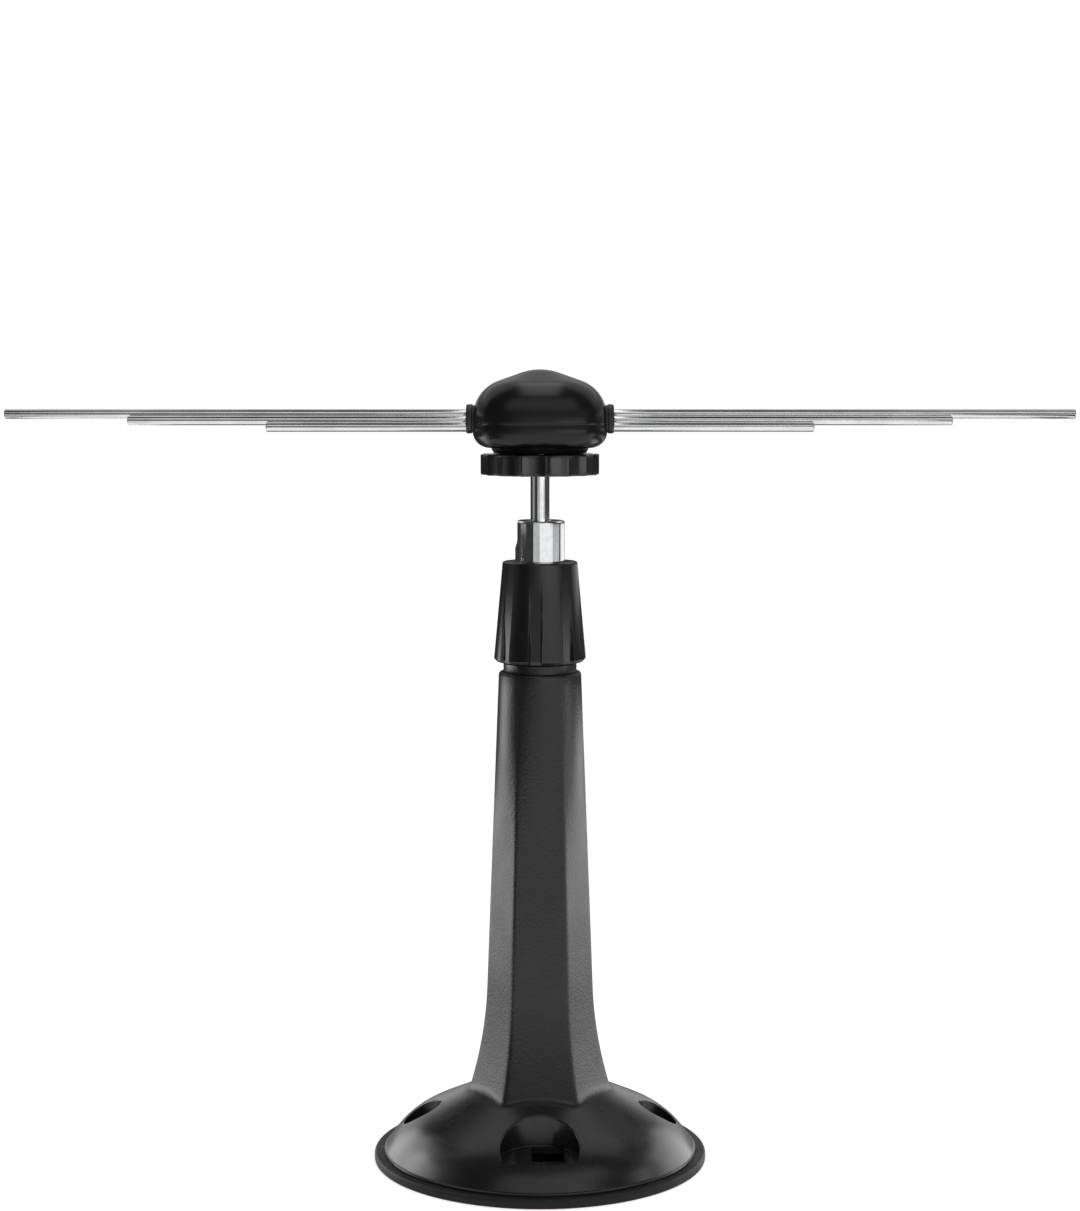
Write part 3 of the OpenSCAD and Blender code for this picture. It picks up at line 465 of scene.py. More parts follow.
def pedestal_levels(s):
    """The pedestal's outer surface, from the lower edge of the dome to the top of the neck."""
    bead = [(s.dome_d / 2 - inset * MM, DOME_Z + up * MM) for inset, up in EDGE_BEAD]
    band = [p for p in dome_path(s, 0)[:-1] if p[1] > DOME_Z + BEAD_CLEAR]
    (r0, z0), (r1, z1) = bead[-1], band[0]
    slope = [(r0 + (r1 - r0) * part, z0 + (z1 - z0) * part) for part in (0.2, 0.4, 0.6, 0.8)]
    rings = [fixed(r, z) for r, z in bead + slope + band]

    band_end = band[-1][0]
    cone = math.tan(s.top_slope)
    cone_steps, foot_steps, shaft_steps = 16, 10, 46
    for k in range(1, cone_steps):
        def on_cone(a, part=k / cone_steps):
            r = band_end + (foot_point(s, a, 1)[0] - band_end) * part
            return r, DOME_Z + s.apex_h - r * cone
        rings.append(on_cone)
    for k in range(foot_steps, -1, -1):
        rings.append(lambda a, part=k / foot_steps: foot_point(s, a, part))

    top_z = DOME_Z + s.column_top_h
    edge = 1.0 * MM
    # Closer together at the foot, where the shaft's form changes most
    crowding = 1.15
    for k in range(1, shaft_steps + 1):
        def on_shaft(a, part=(k / shaft_steps) ** crowding):
            foot_z = foot_point(s, a, 0)[1]
            z = foot_z + (top_z - edge - foot_z) * part
            return column_form_r(s, z, a), z
        rings.append(on_shaft)
    column_top_r = s.column_top_d / 2
    rings += [fixed(column_top_r - edge * (1 - math.cos(f)), top_z - edge * (1 - math.sin(f)))
              for f in quarter(5)[1:]]

    neck_r, shoulder_r, shoulder_z = s.neck_d / 2, s.shoulder_d / 2, top_z + s.shoulder_h
    fillet, bevel, lead_in = 0.5 * MM, 0.3 * MM, 0.8 * MM
    rings += [fixed(r, z) for r, z in (
        (shoulder_r + fillet, top_z), (shoulder_r + 0.3 * fillet, top_z + 0.24 * fillet),
        (shoulder_r, top_z + fillet), (shoulder_r, shoulder_z - bevel), (shoulder_r - bevel, shoulder_z),
        (neck_r, shoulder_z), (neck_r, NECK_TOP_Z - lead_in), (neck_r - lead_in, NECK_TOP_Z),
        (neck_r / 2, NECK_TOP_Z))]
    return rings


def recess_cutter(s, outline, x, y, radius, floor_z, points):
    """The space of a round recess in the dome, with a soft rim and a small fillet at its floor."""
    fillet = 0.5 * MM
    wall_low = floor_z + fillet
    # Where less wall than this stands over the floor, the rim's rounding gets smaller, down to a small share
    full_wall, least_rim = 2.5 * MM, 0.02
    rim_turn, rim_steps = math.radians(82), 5
    # Keeps the rings in their order where the wall is lower than the fillet
    apart = 0.01 * MM

    def ring(place):
        """The points at the (distance from the recess's axis, height) that place gives for each angle."""
        found = []
        for k in range(points):
            t = 2 * math.pi * k / points
            r, z = place(t)
            found.append((x + r * math.cos(t), y + r * math.sin(t), z))
        return found

    def surface(t, r):
        return dome_height(outline, math.hypot(x + r * math.cos(t), y + r * math.sin(t)))

    def flare(t):
        return s.rim * min(1.0, max(least_rim, (surface(t, radius) - floor_z) / full_wall))

    rings = [ring(fixed(radius / 2, floor_z))]
    rings += [ring(fixed(radius - fillet * (1 - math.sin(f)), floor_z + fillet * (1 - math.cos(f))))
              for f in quarter(4)]
    for k in range(rim_steps + 1):
        def on_rim(t, k=k, f=rim_turn * k / rim_steps):
            out = flare(t)
            r = radius + out * (1 - math.cos(f))
            return r, max(wall_low + apart * (k + 1), surface(t, r) - out * (1 - math.sin(f)))
        rings.append(ring(on_rim))
    over_z = DOME_Z + s.apex_h + 6 * PAST
    rings.append(ring(lambda t: (radius + flare(t), over_z)))
    return skinned("cutter", rings)


def column_bore_path(s):
    """The hollow inside the column, one wall inside its flats."""
    def bore_r(z):
        return column_r(s, z) * (1 - hex_share(s, z) * (1 - math.cos(math.radians(30)))) - s.wall
    low_z, top_z = DOME_Z + s.apex_h / 2, DOME_Z + s.column_top_h - 2 * s.wall
    # Below this share of the cone's height the bore stays as wide as it is there
    widest = bore_r(DOME_Z + 0.7 * s.apex_h)
    path = [(widest, low_z)]
    steps, crowding = 14, 1.3
    for k in range(1, steps + 1):
        z = low_z + (top_z - low_z) * (k / steps) ** crowding
        path.append((min(widest, bore_r(z)), z))
    return path


def screw_places(s):
    """The recesses for wall screws: right, back and left of the column."""
    return [(s.recess_place_r, 0.0), (0.0, s.recess_place_r), (-s.recess_place_r, 0.0)]


def build_pedestal():
    s = sizes("antenna_base")
    body = skinned("pedestal_body", polar_rings(pedestal_levels(s), 240))

    bore = column_bore_path(s)
    inner = [p for p in dome_path(s, s.wall, 10) if p[0] > bore[0][0]]
    path = [(inner[0][0], DOME_Z - 2 * PAST)] + inner + [p for p in bore if p[1] > inner[-1][1]]
    hollow = skinned("hollow", turned(path, 96))
    # Walls stay round the recesses, as cups that are left out of the hollow
    cup_wall = 2.2 * MM
    over_z = DOME_Z + s.apex_h + 9 * PAST
    floor_z = DOME_Z + s.lead_floor_h
    cups = [prism("cup", disc(x, y, s.screw_recess_d / 2 + cup_wall), "Z", DOME_Z - 4 * PAST, over_z)
            for x, y in screw_places(s)]
    cups.append(prism("cup", disc(0, -s.recess_place_r, s.lead_recess_d / 2 + cup_wall), "Z",
                      floor_z - s.lead_floor_t, over_z))
    combined(hollow, cups)

    outline = dome_path(s, 0)
    screw_floor_z = DOME_Z + s.screw_floor_t
    cutters = [recess_cutter(s, outline, x, y, s.screw_recess_d / 2, screw_floor_z, 96)
               for x, y in screw_places(s)]
    cutters.append(recess_cutter(s, outline, 0, -s.recess_place_r, s.lead_recess_d / 2, floor_z, 160))
    cutters += [prism("cutter", disc(x, y, s.screw_hole_d / 2, 48), "Z", DOME_Z - 3 * PAST,
                      screw_floor_z + 2 * PAST) for x, y in screw_places(s)]
    # The slot ends a little in front of the recess's back wall
    slot_y1 = s.lead_recess_d / 2 - s.recess_place_r - 0.8 * MM
    slot_y0 = slot_y1 - s.lead_slot_len
    slot_x0, slot_x1 = s.lead_slot_shift - s.lead_slot_w / 2, s.lead_slot_shift + s.lead_slot_w / 2
    slot = [(slot_x0, slot_y0), (slot_x1, slot_y0), (slot_x1, slot_y1), (slot_x0, slot_y1)]
    cutters.append(prism("cutter", slot, "Z", DOME_Z + PAST / 2, floor_z + PAST))
    combined(body, [hollow] + cutters)
    dressed(body, "Black moulding", "stand", ["pedestal"])


def build_gasket():
    s = sizes("antenna_base")
    r, bore = s.gasket_d / 2, s.gasket_bore_d / 2
    low_edge, top_edge, bore_edge = 0.6 * MM, 1.0 * MM, 0.3 * MM
    path = rounded([(bore, 0, 0), (r, 0, low_edge), (r, DOME_Z, top_edge), (bore, DOME_Z, bore_edge),
                    (bore, 0, 0)])[:-1]
    ring = skinned("gasket", turned(path, 224), loop=True)
    hole_r = s.screw_hole_d / 2 + 0.4 * MM
    combined(ring, [prism("cutter", disc(x, y, hole_r, 48), "Z", -PAST, DOME_Z + PAST)
                    for x, y in screw_places(s)])
    dressed(ring, "Gasket rubber", "stand", ["base_gasket"])


# Collar, ball joint and knob

# Play between turning pieces, on the radius
PLAY = 0.075 * MM


def build_collar():
    s = sizes("antenna_collar")
    neck_r, socket_r = sizes("antenna_base").neck_d / 2, s.socket_d / 2
    # The outside's path ends on the two end faces, this far out from the bores
    inside = 1 * MM
    widest_z = COLLAR_Z + 1.0 * MM
    outer = rounded([(neck_r + inside, COLLAR_Z, 0), (s.bottom_d / 2 - 1 * MM, COLLAR_Z, 0.3 * MM),
                     (s.bottom_d / 2, widest_z, 0.35 * MM), (s.top_d / 2, COLLAR_TOP_Z, s.edge),
                     (socket_r + inside, COLLAR_TOP_Z, 0)])
    # More levels along the slope, where the flutes are
    slope_h, slope_cuts = 20 * MM, 44
    path = []
    for (r0, z0), (r1, z1) in zip(outer, outer[1:]):
        cuts = slope_cuts if z1 - z0 > slope_h else 1
        path += [(r0 + (r1 - r0) * k / cuts, z0 + (z1 - z0) * k / cuts) for k in range(cuts)]
    path.append(outer[-1])
    first = -math.pi / 2 + s.flute_start
    pitch = 2 * math.pi / s.flutes
    floor_r = s.flute_floor_d / 2
    # A flute's sides are this soft, and it fades into the slope where it gets this shallow
    soft, shallow, fade = 0.16 * MM, 0.25 * MM, 0.03 * MM

    def fluted(r, a):
        off = (a - first + pitch / 2) % pitch - pitch / 2
        side = abs(r * math.sin(off))
        t = min(1.0, max(0.0, (s.flute_w / 2 + soft - side) / (2 * soft)))
        floor = (floor_r + s.flute_rise * max(0.0, r - floor_r)) / math.cos(off)
        depth = r - floor
        depth = 0.5 * (depth + math.sqrt(depth * depth + shallow * shallow)) - fade
        return r - max(0.0, depth) * t * t * (3 - 2 * t)

    def on_slope(r, z):
        return lambda a: (fluted(r, a), z)

    fluted_from = floor_r - 0.9 * MM
    levels = [on_slope(r, z) if r > fluted_from else fixed(r, z) for r, z in path]
    hole_r, bore_r = socket_r + PLAY, neck_r + PLAY
    flange_wall_z = FLANGE_Z + 3.1 * MM
    top_bevel, low_bevel = 0.3 * MM, 0.5 * MM
    levels += [fixed(r, z) for r, z in (
        (hole_r + top_bevel, COLLAR_TOP_Z), (hole_r, COLLAR_TOP_Z - top_bevel), (hole_r, flange_wall_z),
        (bore_r, flange_wall_z), (bore_r, COLLAR_Z + low_bevel), (bore_r + low_bevel, COLLAR_Z))]
    collar = skinned("collar", polar_rings(levels, 480), loop=True)
    dressed(collar, "Collar plastic", "collar", ["clamp_collar"], 40)


def build_ball_joint():
    s = sizes("antenna_collar")
    ball_r, stud_r, z0 = s.ball_d / 2, s.stud_d / 2, s.ball_z
    seat_r, bore_r, mouth_r = ball_r + 0.05 * MM, ball_r + 0.15 * MM, stud_r + 0.5 * MM
    flange_r, flange_z, flange_edge = 10.9 * MM, FLANGE_Z + 3 * MM, 0.3 * MM
    outer = rounded([(bore_r, FLANGE_Z, 0), (flange_r, FLANGE_Z, flange_edge),
                     (flange_r, flange_z, flange_edge), (s.socket_d / 2, flange_z, 0),
                     (s.socket_d / 2, SOCKET_TOP_Z, s.socket_edge), (mouth_r, SOCKET_TOP_Z, 0.35 * MM),
                     (mouth_r, z0, 0)], 8)
    # The round seat, from the mouth down to the ball's middle
    end = math.acos(mouth_r / seat_r)
    seat_steps, slot_steps, ball_steps = 12, 24, 40
    seat = [(seat_r * math.cos(f), z0 + seat_r * math.sin(f)) for f in
            (end * (1 - k / seat_steps) for k in range(seat_steps + 1))]
    path = outer[:-1] + seat + [(bore_r, z0 - 0.2 * MM)]
    socket = skinned("ball_socket_plated", turned(path, 160), loop=True)
    # The stud tilts to the left, so the slot is open there and at the top
    half = s.slot_w / 2
    slot = [(half * math.sin(a), z0 - half * math.cos(a)) for a in
            (math.pi * (k / slot_steps - 0.5) for k in range(slot_steps + 1))]
    slot += [(half, SOCKET_TOP_Z + 2 * PAST), (-half, SOCKET_TOP_Z + 2 * PAST)]
    combined(socket, [prism("cutter", slot, "X", -flange_r - PAST, 0.0)])
    dressed(socket, "Bright plate", "socket", ["ball_socket"], 40)

    neck = math.asin(stud_r / ball_r)
    ball = [(ball_r * math.sin(a), z0 - ball_r * math.cos(a)) for a in
            ((math.pi - neck) * k / ball_steps for k in range(1, ball_steps + 1))]
    shank = rounded([(stud_r, ball[-1][1], 0), (stud_r, STUD_TOP_Z, 0.5 * MM), (0.3 * MM, STUD_TOP_Z, 0)])
    stud = skinned("ball_stud_plated", turned(ball + shank[1:], 96))
    dressed(stud, "Bright plate", "stud", ["ball_stud"], 40)


def build_knob():
    s = sizes("antenna_knob")
    half = math.pi / s.scallops
    outer_r, edge = s.knob_d / 2, s.edge
    hole_r = sizes("antenna_collar").stud_d / 2 + 0.15 * MM
    # Distance of the scallops' centres from the axis
    place = outer_r * math.cos(half) + math.sqrt(s.scallop_r ** 2 - (outer_r * math.sin(half)) ** 2)
    first = -math.pi / 2 + s.ridge_start
    # What is taken off a ridge's edge, and over which width
    ridge_blunt, ridge_w = 0.14 * MM, 0.3 * MM

    def outline_r(a):
        off = (a - first) % (2 * half) - half
        r = place * math.cos(off) - math.sqrt(s.scallop_r ** 2 - (place * math.sin(off)) ** 2)
        from_ridge = (half - abs(off)) * outer_r
        return r - ridge_blunt * math.exp(-(from_ridge / ridge_w) ** 2)

    def level(inset, z):
        return lambda a: (outline_r(a) - inset, z)

    # The flat faces: a ring near the outline, and rings from there to the hole's bevel
    face_inset, ring_inset, bevel = 1.2 * MM, 1.6 * MM, 0.3 * MM
    parts = (0.0, 0.35, 0.7)

    def face(part, z):
        return lambda a: (hole_r + bevel + (outline_r(a) - ring_inset - hole_r) * part, z)

    side_h = KNOB_TOP_Z - KNOB_Z - 2 * edge
    levels = [face(part, KNOB_Z) for part in parts] + [level(face_inset, KNOB_Z)]
    levels += [level(edge * (1 - math.sin(f)), KNOB_Z + edge * (1 - math.cos(f))) for f in quarter(5)]
    levels += [level(0.0, KNOB_Z + edge + side_h * k / 6) for k in range(1, 6)]
    levels += [level(edge * (1 - math.cos(f)), KNOB_TOP_Z - edge * (1 - math.sin(f))) for f in quarter(5)]
    levels += [level(face_inset, KNOB_TOP_Z)] + [face(part, KNOB_TOP_Z) for part in reversed(parts)]
    levels += [fixed(hole_r, KNOB_TOP_Z - bevel), fixed(hole_r, KNOB_Z + bevel)]
    knob = skinned("lock_knob_disc", polar_rings(levels, 24 * s.scallops), loop=True)

    # The pocket of the nut, a little wider than the nut and open at the top
    nut_low, nut_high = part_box("knob_nut")
    loose = 1.004
    pocket = disc(0, 0, (nut_high.y - nut_low.y) / 2 / math.cos(math.pi / 6) * loose, 6)
    combined(knob, [prism("cutter", pocket, "Z", nut_low.z - 0.03 * MM, KNOB_TOP_Z + PAST)])
    dressed(knob, "Knob plastic", "knob", ["lock_knob"], 38)


# Head

def head_path(s, inset):
    """The head's outline (half width, height) from its underside to its crown, moved in by an inset."""
    w = s.head_w / 2 - inset
    head_z = BOSS_Z + s.boss_h
    base_z = head_z + inset
    # The roof's two slopes would meet at this height over the underside
    ridge_h = s.head_h + s.crown_r * (1 / math.cos(s.roof_slope) - 1)
    ridge_z = head_z + ridge_h - inset / math.cos(s.roof_slope)
    eave_z = ridge_z - w * math.tan(s.roof_slope)
    low_part = rounded([(0, base_z, 0), (w, base_z, s.edge_r - inset), (w, eave_z, 0)], 8)[1:-1]
    side = rounded([(w, base_z, 0), (w, eave_z, s.shoulder_r - inset), (0, ridge_z, 0)], 16)[1:-1]
    top = rounded([(w, eave_z, 0), (0, ridge_z, s.crown_r - inset), (-w, eave_z, 0)], 24)[1:-1]
    axis_gap = 0.4 * MM
    return low_part + side + [p for p in top if p[0] > axis_gap]


def plan_ring(s, w, z):
    """A ring of the head's plan at half width w."""
    power, ratio = 2 / s.squareness, s.head_depth / s.head_w
    points = 224
    ring = []
    for k in range(points):
        a = 2 * math.pi * k / points
        c, n = math.cos(a), math.sin(a)
        ring.append((w * math.copysign(abs(c) ** power, c), w * ratio * math.copysign(abs(n) ** power, n), z))
    return ring


def grommet_openings(s):
    """Cutters for the grommets' necks, one for each end of the head."""
    # A neck is smaller than its lips, and its opening has a little play
    lip = s.grommet_lip - 0.05 * MM
    outline = rounded_box(s.grommet_w - 2 * lip, s.grommet_h - 2 * lip, s.grommet_r - lip,
                          middle_yz("grommet_left")[1])
    inner_x, outer_x = 15 * MM, 26 * MM
    return [prism("cutter", outline, "X", *sorted((side * inner_x, side * outer_x))) for side in (-1, 1)]


# The shells' outlines keep this far from the seam, and stop this far from the axis
SEAM_CLEAR = 1 * MM
CROWN_HOLE = 0.3 * MM


def build_lower_shell(s, head_z, seam_z):
    half, wall, soft = s.head_w / 2, s.shell_wall, s.seam_round
    outer = [p for p in head_path(s, 0) if p[1] < seam_z - SEAM_CLEAR]
    inner = [p for p in head_path(s, wall) if p[1] < seam_z - 0.8 * SEAM_CLEAR]
    # Out along the underside, up to the seam, in over its edge and back down inside
    flats = (3 * MM, 10 * MM)
    path = [(w, head_z) for w in flats] + outer
    path += [(half, seam_z - soft), (half - 0.3 * soft, seam_z - 0.3 * soft), (half - soft, seam_z)]
    path += [(half - wall, seam_z)] + inner[::-1] + [(w, head_z + wall) for w in reversed(flats)]
    lower = skinned("head_lower", [plan_ring(s, w, z) for w, z in path])

    # The boss under the head, and the sleeve of the metal insert in it
    core_r, bite = 2 * MM, 0.4 * MM
    boss = rounded([(core_r, BOSS_Z, 0), (s.boss_bottom_d / 2, BOSS_Z, 0.4 * MM),
                    (s.boss_top_d / 2, head_z + bite, 0), (core_r, head_z + bite, 0)])
    combined(lower, [skinned("boss", turned(boss, 160))], "UNION")
    insert_r, insert_top_z = 5.5 * MM, high("boss_insert").z
    sleeve = [(core_r, head_z + 1 * MM), (insert_r + wall, head_z + 1 * MM), (insert_r + wall, insert_top_z),
              (core_r, insert_top_z)]
    combined(lower, [skinned("sleeve", turned(sleeve, 96))], "UNION")
    bore = [(insert_r, BOSS_Z - 2 * PAST), (insert_r, insert_top_z + 2 * PAST)]
    cutters = [skinned("cutter", turned(bore, 96))]
    screw_x, screw_y, screw_r, screw_depth = 7.6 * MM, 9.0 * MM, 2.5 * MM, 2 * MM
    cutters += [prism("cutter", disc(sx * screw_x, sy * screw_y, screw_r, 40), "Z", BOSS_Z - PAST,
                      BOSS_Z + screw_depth) for sx in (-1, 1) for sy in (-1, 1)]
    combined(lower, cutters + grommet_openings(s))
    dressed(lower, "Head plastic", "head", ["head_lower_shell"], 32)


def build_upper_shell(s, seam_z):
    half, wall, soft = s.head_w / 2, s.shell_wall, s.seam_round
    outer = [p for p in head_path(s, 0) if p[1] > seam_z + SEAM_CLEAR]
    inner = [p for p in head_path(s, wall) if p[1] > seam_z + 0.8 * SEAM_CLEAR]
    # Down inside from the crown to the seam, out over its edge and up outside
    path = [(CROWN_HOLE, inner[-1][1])] + inner[::-1] + [(half - wall, seam_z), (half - soft, seam_z)]
    path += [(half - 0.3 * soft, seam_z + 0.3 * soft), (half, seam_z + soft)] + outer
    path += [(CROWN_HOLE, HEAD_TOP_Z)]
    upper = skinned("head_upper", [plan_ring(s, w, z) for w, z in path])

    # The round seat of the aerial socket, at the back, and the room for the socket in it
    jack_z, seat_y = middle_yz("coax_jack")[1], low("jack_nut").y
    seat_r, edge = s.jack_seat_d / 2, 0.4 * MM
    levels = ((seat_r, seat_y - 7.5 * MM), (seat_r, seat_y - edge),
              (seat_r - 0.3 * edge, seat_y - 0.25 * edge), (seat_r - edge, seat_y))
    combined(upper, [skinned("seat", rings_along_y(jack_z, levels, 96))], "UNION")
    thread_r = s.jack_thread_d / 2
    bore, pocket = disc(0, jack_z, thread_r + 0.05 * MM), disc(0, jack_z, thread_r + 1.1 * MM)
    cutters = [prism("cutter", bore, "Y", 0.0, seat_y + 2 * PAST),
               prism("cutter", pocket, "Y", 8 * MM, seat_y - 3.2 * MM)]
    combined(upper, cutters + grommet_openings(s))
    dressed(upper, "Head plastic", "head", ["head_upper_shell"], 32)


def build_head():
    s = sizes("antenna_head")
    head_z = BOSS_Z + s.boss_h
    seam_z = head_z + s.seam_h
    build_lower_shell(s, head_z, seam_z)
    build_upper_shell(s, seam_z)


ROD_LENGTHS = ("long", "mid", "short")


def build_grommets():
    s = sizes("antenna_head")
    z = middle_yz("grommet_left")[1]
    half, lip, rim = s.head_w / 2, s.grommet_lip, 0.55 * MM
    hole_r = s.rod_d / 2 + 0.03 * MM
    least_corner = s.grommet_r - 2.2 * MM
    for name, side in (("left", -1), ("right", 1)):
        inner_x, outer_x = sorted(abs(corner.x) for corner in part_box("grommet_" + name))
        # (inset of the outline, distance from the head's middle), from the inner end outwards
        path = [(1.2 * MM, inner_x), (0.0, inner_x + 0.2 * MM), (0.0, inner_x + 1.2 * MM),
                (lip, inner_x + 1.3 * MM), (lip, half + 0.1 * MM), (0.12 * MM, half + 0.16 * MM),
                (0.0, half + 0.35 * MM)]
        path += [(rim * (1 - math.cos(f)), outer_x - rim * (1 - math.sin(f))) for f in quarter(5)]
        path.append((1.6 * MM, outer_x))
        rings = []
        for inset, x in path:
            outline = rounded_box(s.grommet_w - 2 * inset, s.grommet_h - 2 * inset,
                                  max(least_corner, s.grommet_r - inset), z)
            rings.append([(side * x, y, height) for y, height in outline])
        piece = skinned("grommet_%s_rim" % name, rings)
        ends = sorted((side * (inner_x - PAST), side * (outer_x + PAST)))
        holes = [prism("cutter", disc(*middle_yz("rod_%s_%s" % (name, rod)), hole_r, 48), "X", *ends)
                 for rod in ROD_LENGTHS]
        combined(piece, holes)
        dressed(piece, "Grommet rubber", "head", ["grommet_" + name], 40)


def build_rods():
    s = sizes("antenna_head")
    r, edge = s.rod_d / 2, s.rod_chamfer
    for side in ("left", "right"):
        for rod in ROD_LENGTHS:
            node = "rod_%s_%s" % (side, rod)
            y, z = middle_yz(node)
            arc = [(r - edge * (1 - math.sin(f)), edge * (1 - math.cos(f))) for f in quarter(5)]
            path = [(q, low(node).x + x) for q, x in arc] + [(q, high(node).x - x) for q, x in reversed(arc)]
            rings = [[(x, py, pz) for py, pz in disc(y, z, q, 48)] for q, x in path]
            dressed(skinned(node + "_bar", rings), "Rod plate", "head", [node], 40)


def build_aerial_socket():
    s = sizes("antenna_head")
    z = middle_yz("coax_jack")[1]
    y0, y1, nut_y1 = low("coax_jack").y, high("coax_jack").y, high("jack_nut").y
    r, mouth_r = s.jack_thread_d / 2, s.jack_mouth_d / 2
    points = 96
    shank_r, flange_r = r - 0.1 * MM, r + 0.9 * MM
    flange_y0, flange_y1 = y0 + 2 * MM, y0 + 3.8 * MM
    inner = ((2 * MM, y0), (shank_r, y0), (shank_r, flange_y0), (flange_r, flange_y0), (flange_r, flange_y1),
             (shank_r, flange_y1), (shank_r, nut_y1))
    rings = rings_along_y(z, inner, points)

    # The thread: a groove with straight sides that winds along the socket and fades at its end
    groove_depth, groove_sides = 0.36 * MM, 2.6
    fade_end, fade = y1 - 0.5 * MM, 0.6 * MM
    thread_y0, thread_y1, steps = nut_y1 + 0.1 * MM, y1 - 0.3 * MM, 96
    for j in range(steps + 1):
        y = thread_y0 + (thread_y1 - thread_y0) * j / steps
        depth = groove_depth * min(1.0, max(0.0, (fade_end - y) / fade))
        ring = []
        for k in range(points):
            t = 2 * math.pi * k / points
            phase = ((y - thread_y0) / s.jack_pitch - k / points) % 1.0
            q = r - depth * max(0.0, 1 - abs(phase - 0.5) * groove_sides)
            ring.append((q * math.cos(t), y, z + q * math.sin(t)))
        rings.append(ring)

    bevel = 0.4 * MM
    mouth = ((r - 0.3 * MM, y1), (mouth_r + bevel, y1), (mouth_r, y1 - bevel), (mouth_r, y1 - 5.8 * MM),
             (1.0 * MM, y1 - 6 * MM))
    rings += rings_along_y(z, mouth, points)
    dressed(skinned("aerial_socket", rings), "Nickel plate", "head", ["coax_jack"], 50)


def build_socket_nut():
    s = sizes("antenna_head")
    z = middle_yz("coax_jack")[1]
    y0, y1 = low("jack_nut").y, high("jack_nut").y
    middle_y, half_t = (y0 + y1) / 2, (y1 - y0) / 2
    flats = s.jack_nut_flats / 2
    hole_r, face_r, bevel = s.jack_thread_d / 2 - 0.05 * MM, flats - 0.35 * MM, 0.25 * MM
    # The outside is chamfered by this at its flats, and by more towards its corners
    chamfer, chamfer_clear, chamfer_slope = 0.12 * MM, 0.1 * MM, 0.55
    points = 120
    rings = []
    # (radius, distance from the nut's middle): a radius of None is the six-sided outside
    for r, out in ((hole_r + bevel, -half_t), (face_r, -half_t), (None, -half_t), (None, half_t),
                   (face_r, half_t), (hole_r + bevel, half_t), (hole_r, half_t - bevel),
                   (hole_r, -half_t + bevel)):
        ring = []
        for k in range(points):
            t = 2 * math.pi * k / points
            q, y = r, middle_y + out
            if r is None:
                q = flats / math.cos(t % (math.pi / 3) - math.pi / 6)
                fall = max(0.0, q - flats - chamfer_clear) * chamfer_slope
                y -= math.copysign(fall + chamfer, out)
            ring.append((q * math.cos(t), y, z + q * math.sin(t)))
        rings.append(ring)
    nut = skinned("aerial_socket_nut", rings, loop=True)
    dressed(nut, "Nickel plate", "head", ["jack_nut"], 30)


# The finish of each node. The outer nodes have theirs too, under the dressed pieces
NODE_FINISHES = {
    "Pad plastic": ["pressure_pad"],
    "Brass": ["knob_nut", "boss_insert", "terminal_left", "terminal_right"],
    "Zinc plate": ["clamp_screws", "board_screws", "head_screws"],
    "Board laminate": ["balun_board"],
    "Ferrite": ["balun_core"],
    "Copper lead": ["board_leads"],
    "Black moulding": ["pedestal"],
    "Gasket rubber": ["base_gasket"],
    "Collar plastic": ["clamp_collar"],
    "Bright plate": ["ball_socket", "ball_stud"],
    "Knob plastic": ["lock_knob"],
    "Head plastic": ["head_lower_shell", "head_upper_shell"],
    "Grommet rubber": ["grommet_left", "grommet_right"],
    "Rod plate": ["rod_%s_%s" % (side, rod) for side in ("left", "right") for rod in ROD_LENGTHS],
    "Nickel plate": ["coax_jack", "jack_nut"],
}


def finish_nodes():
    """Gives each node of the packed model its finish."""
    for finish, nodes in NODE_FINISHES.items():
        for node in nodes:
            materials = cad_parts[node].data.materials
            materials.clear()
            materials.append(bpy.data.materials[finish])


# Finishes

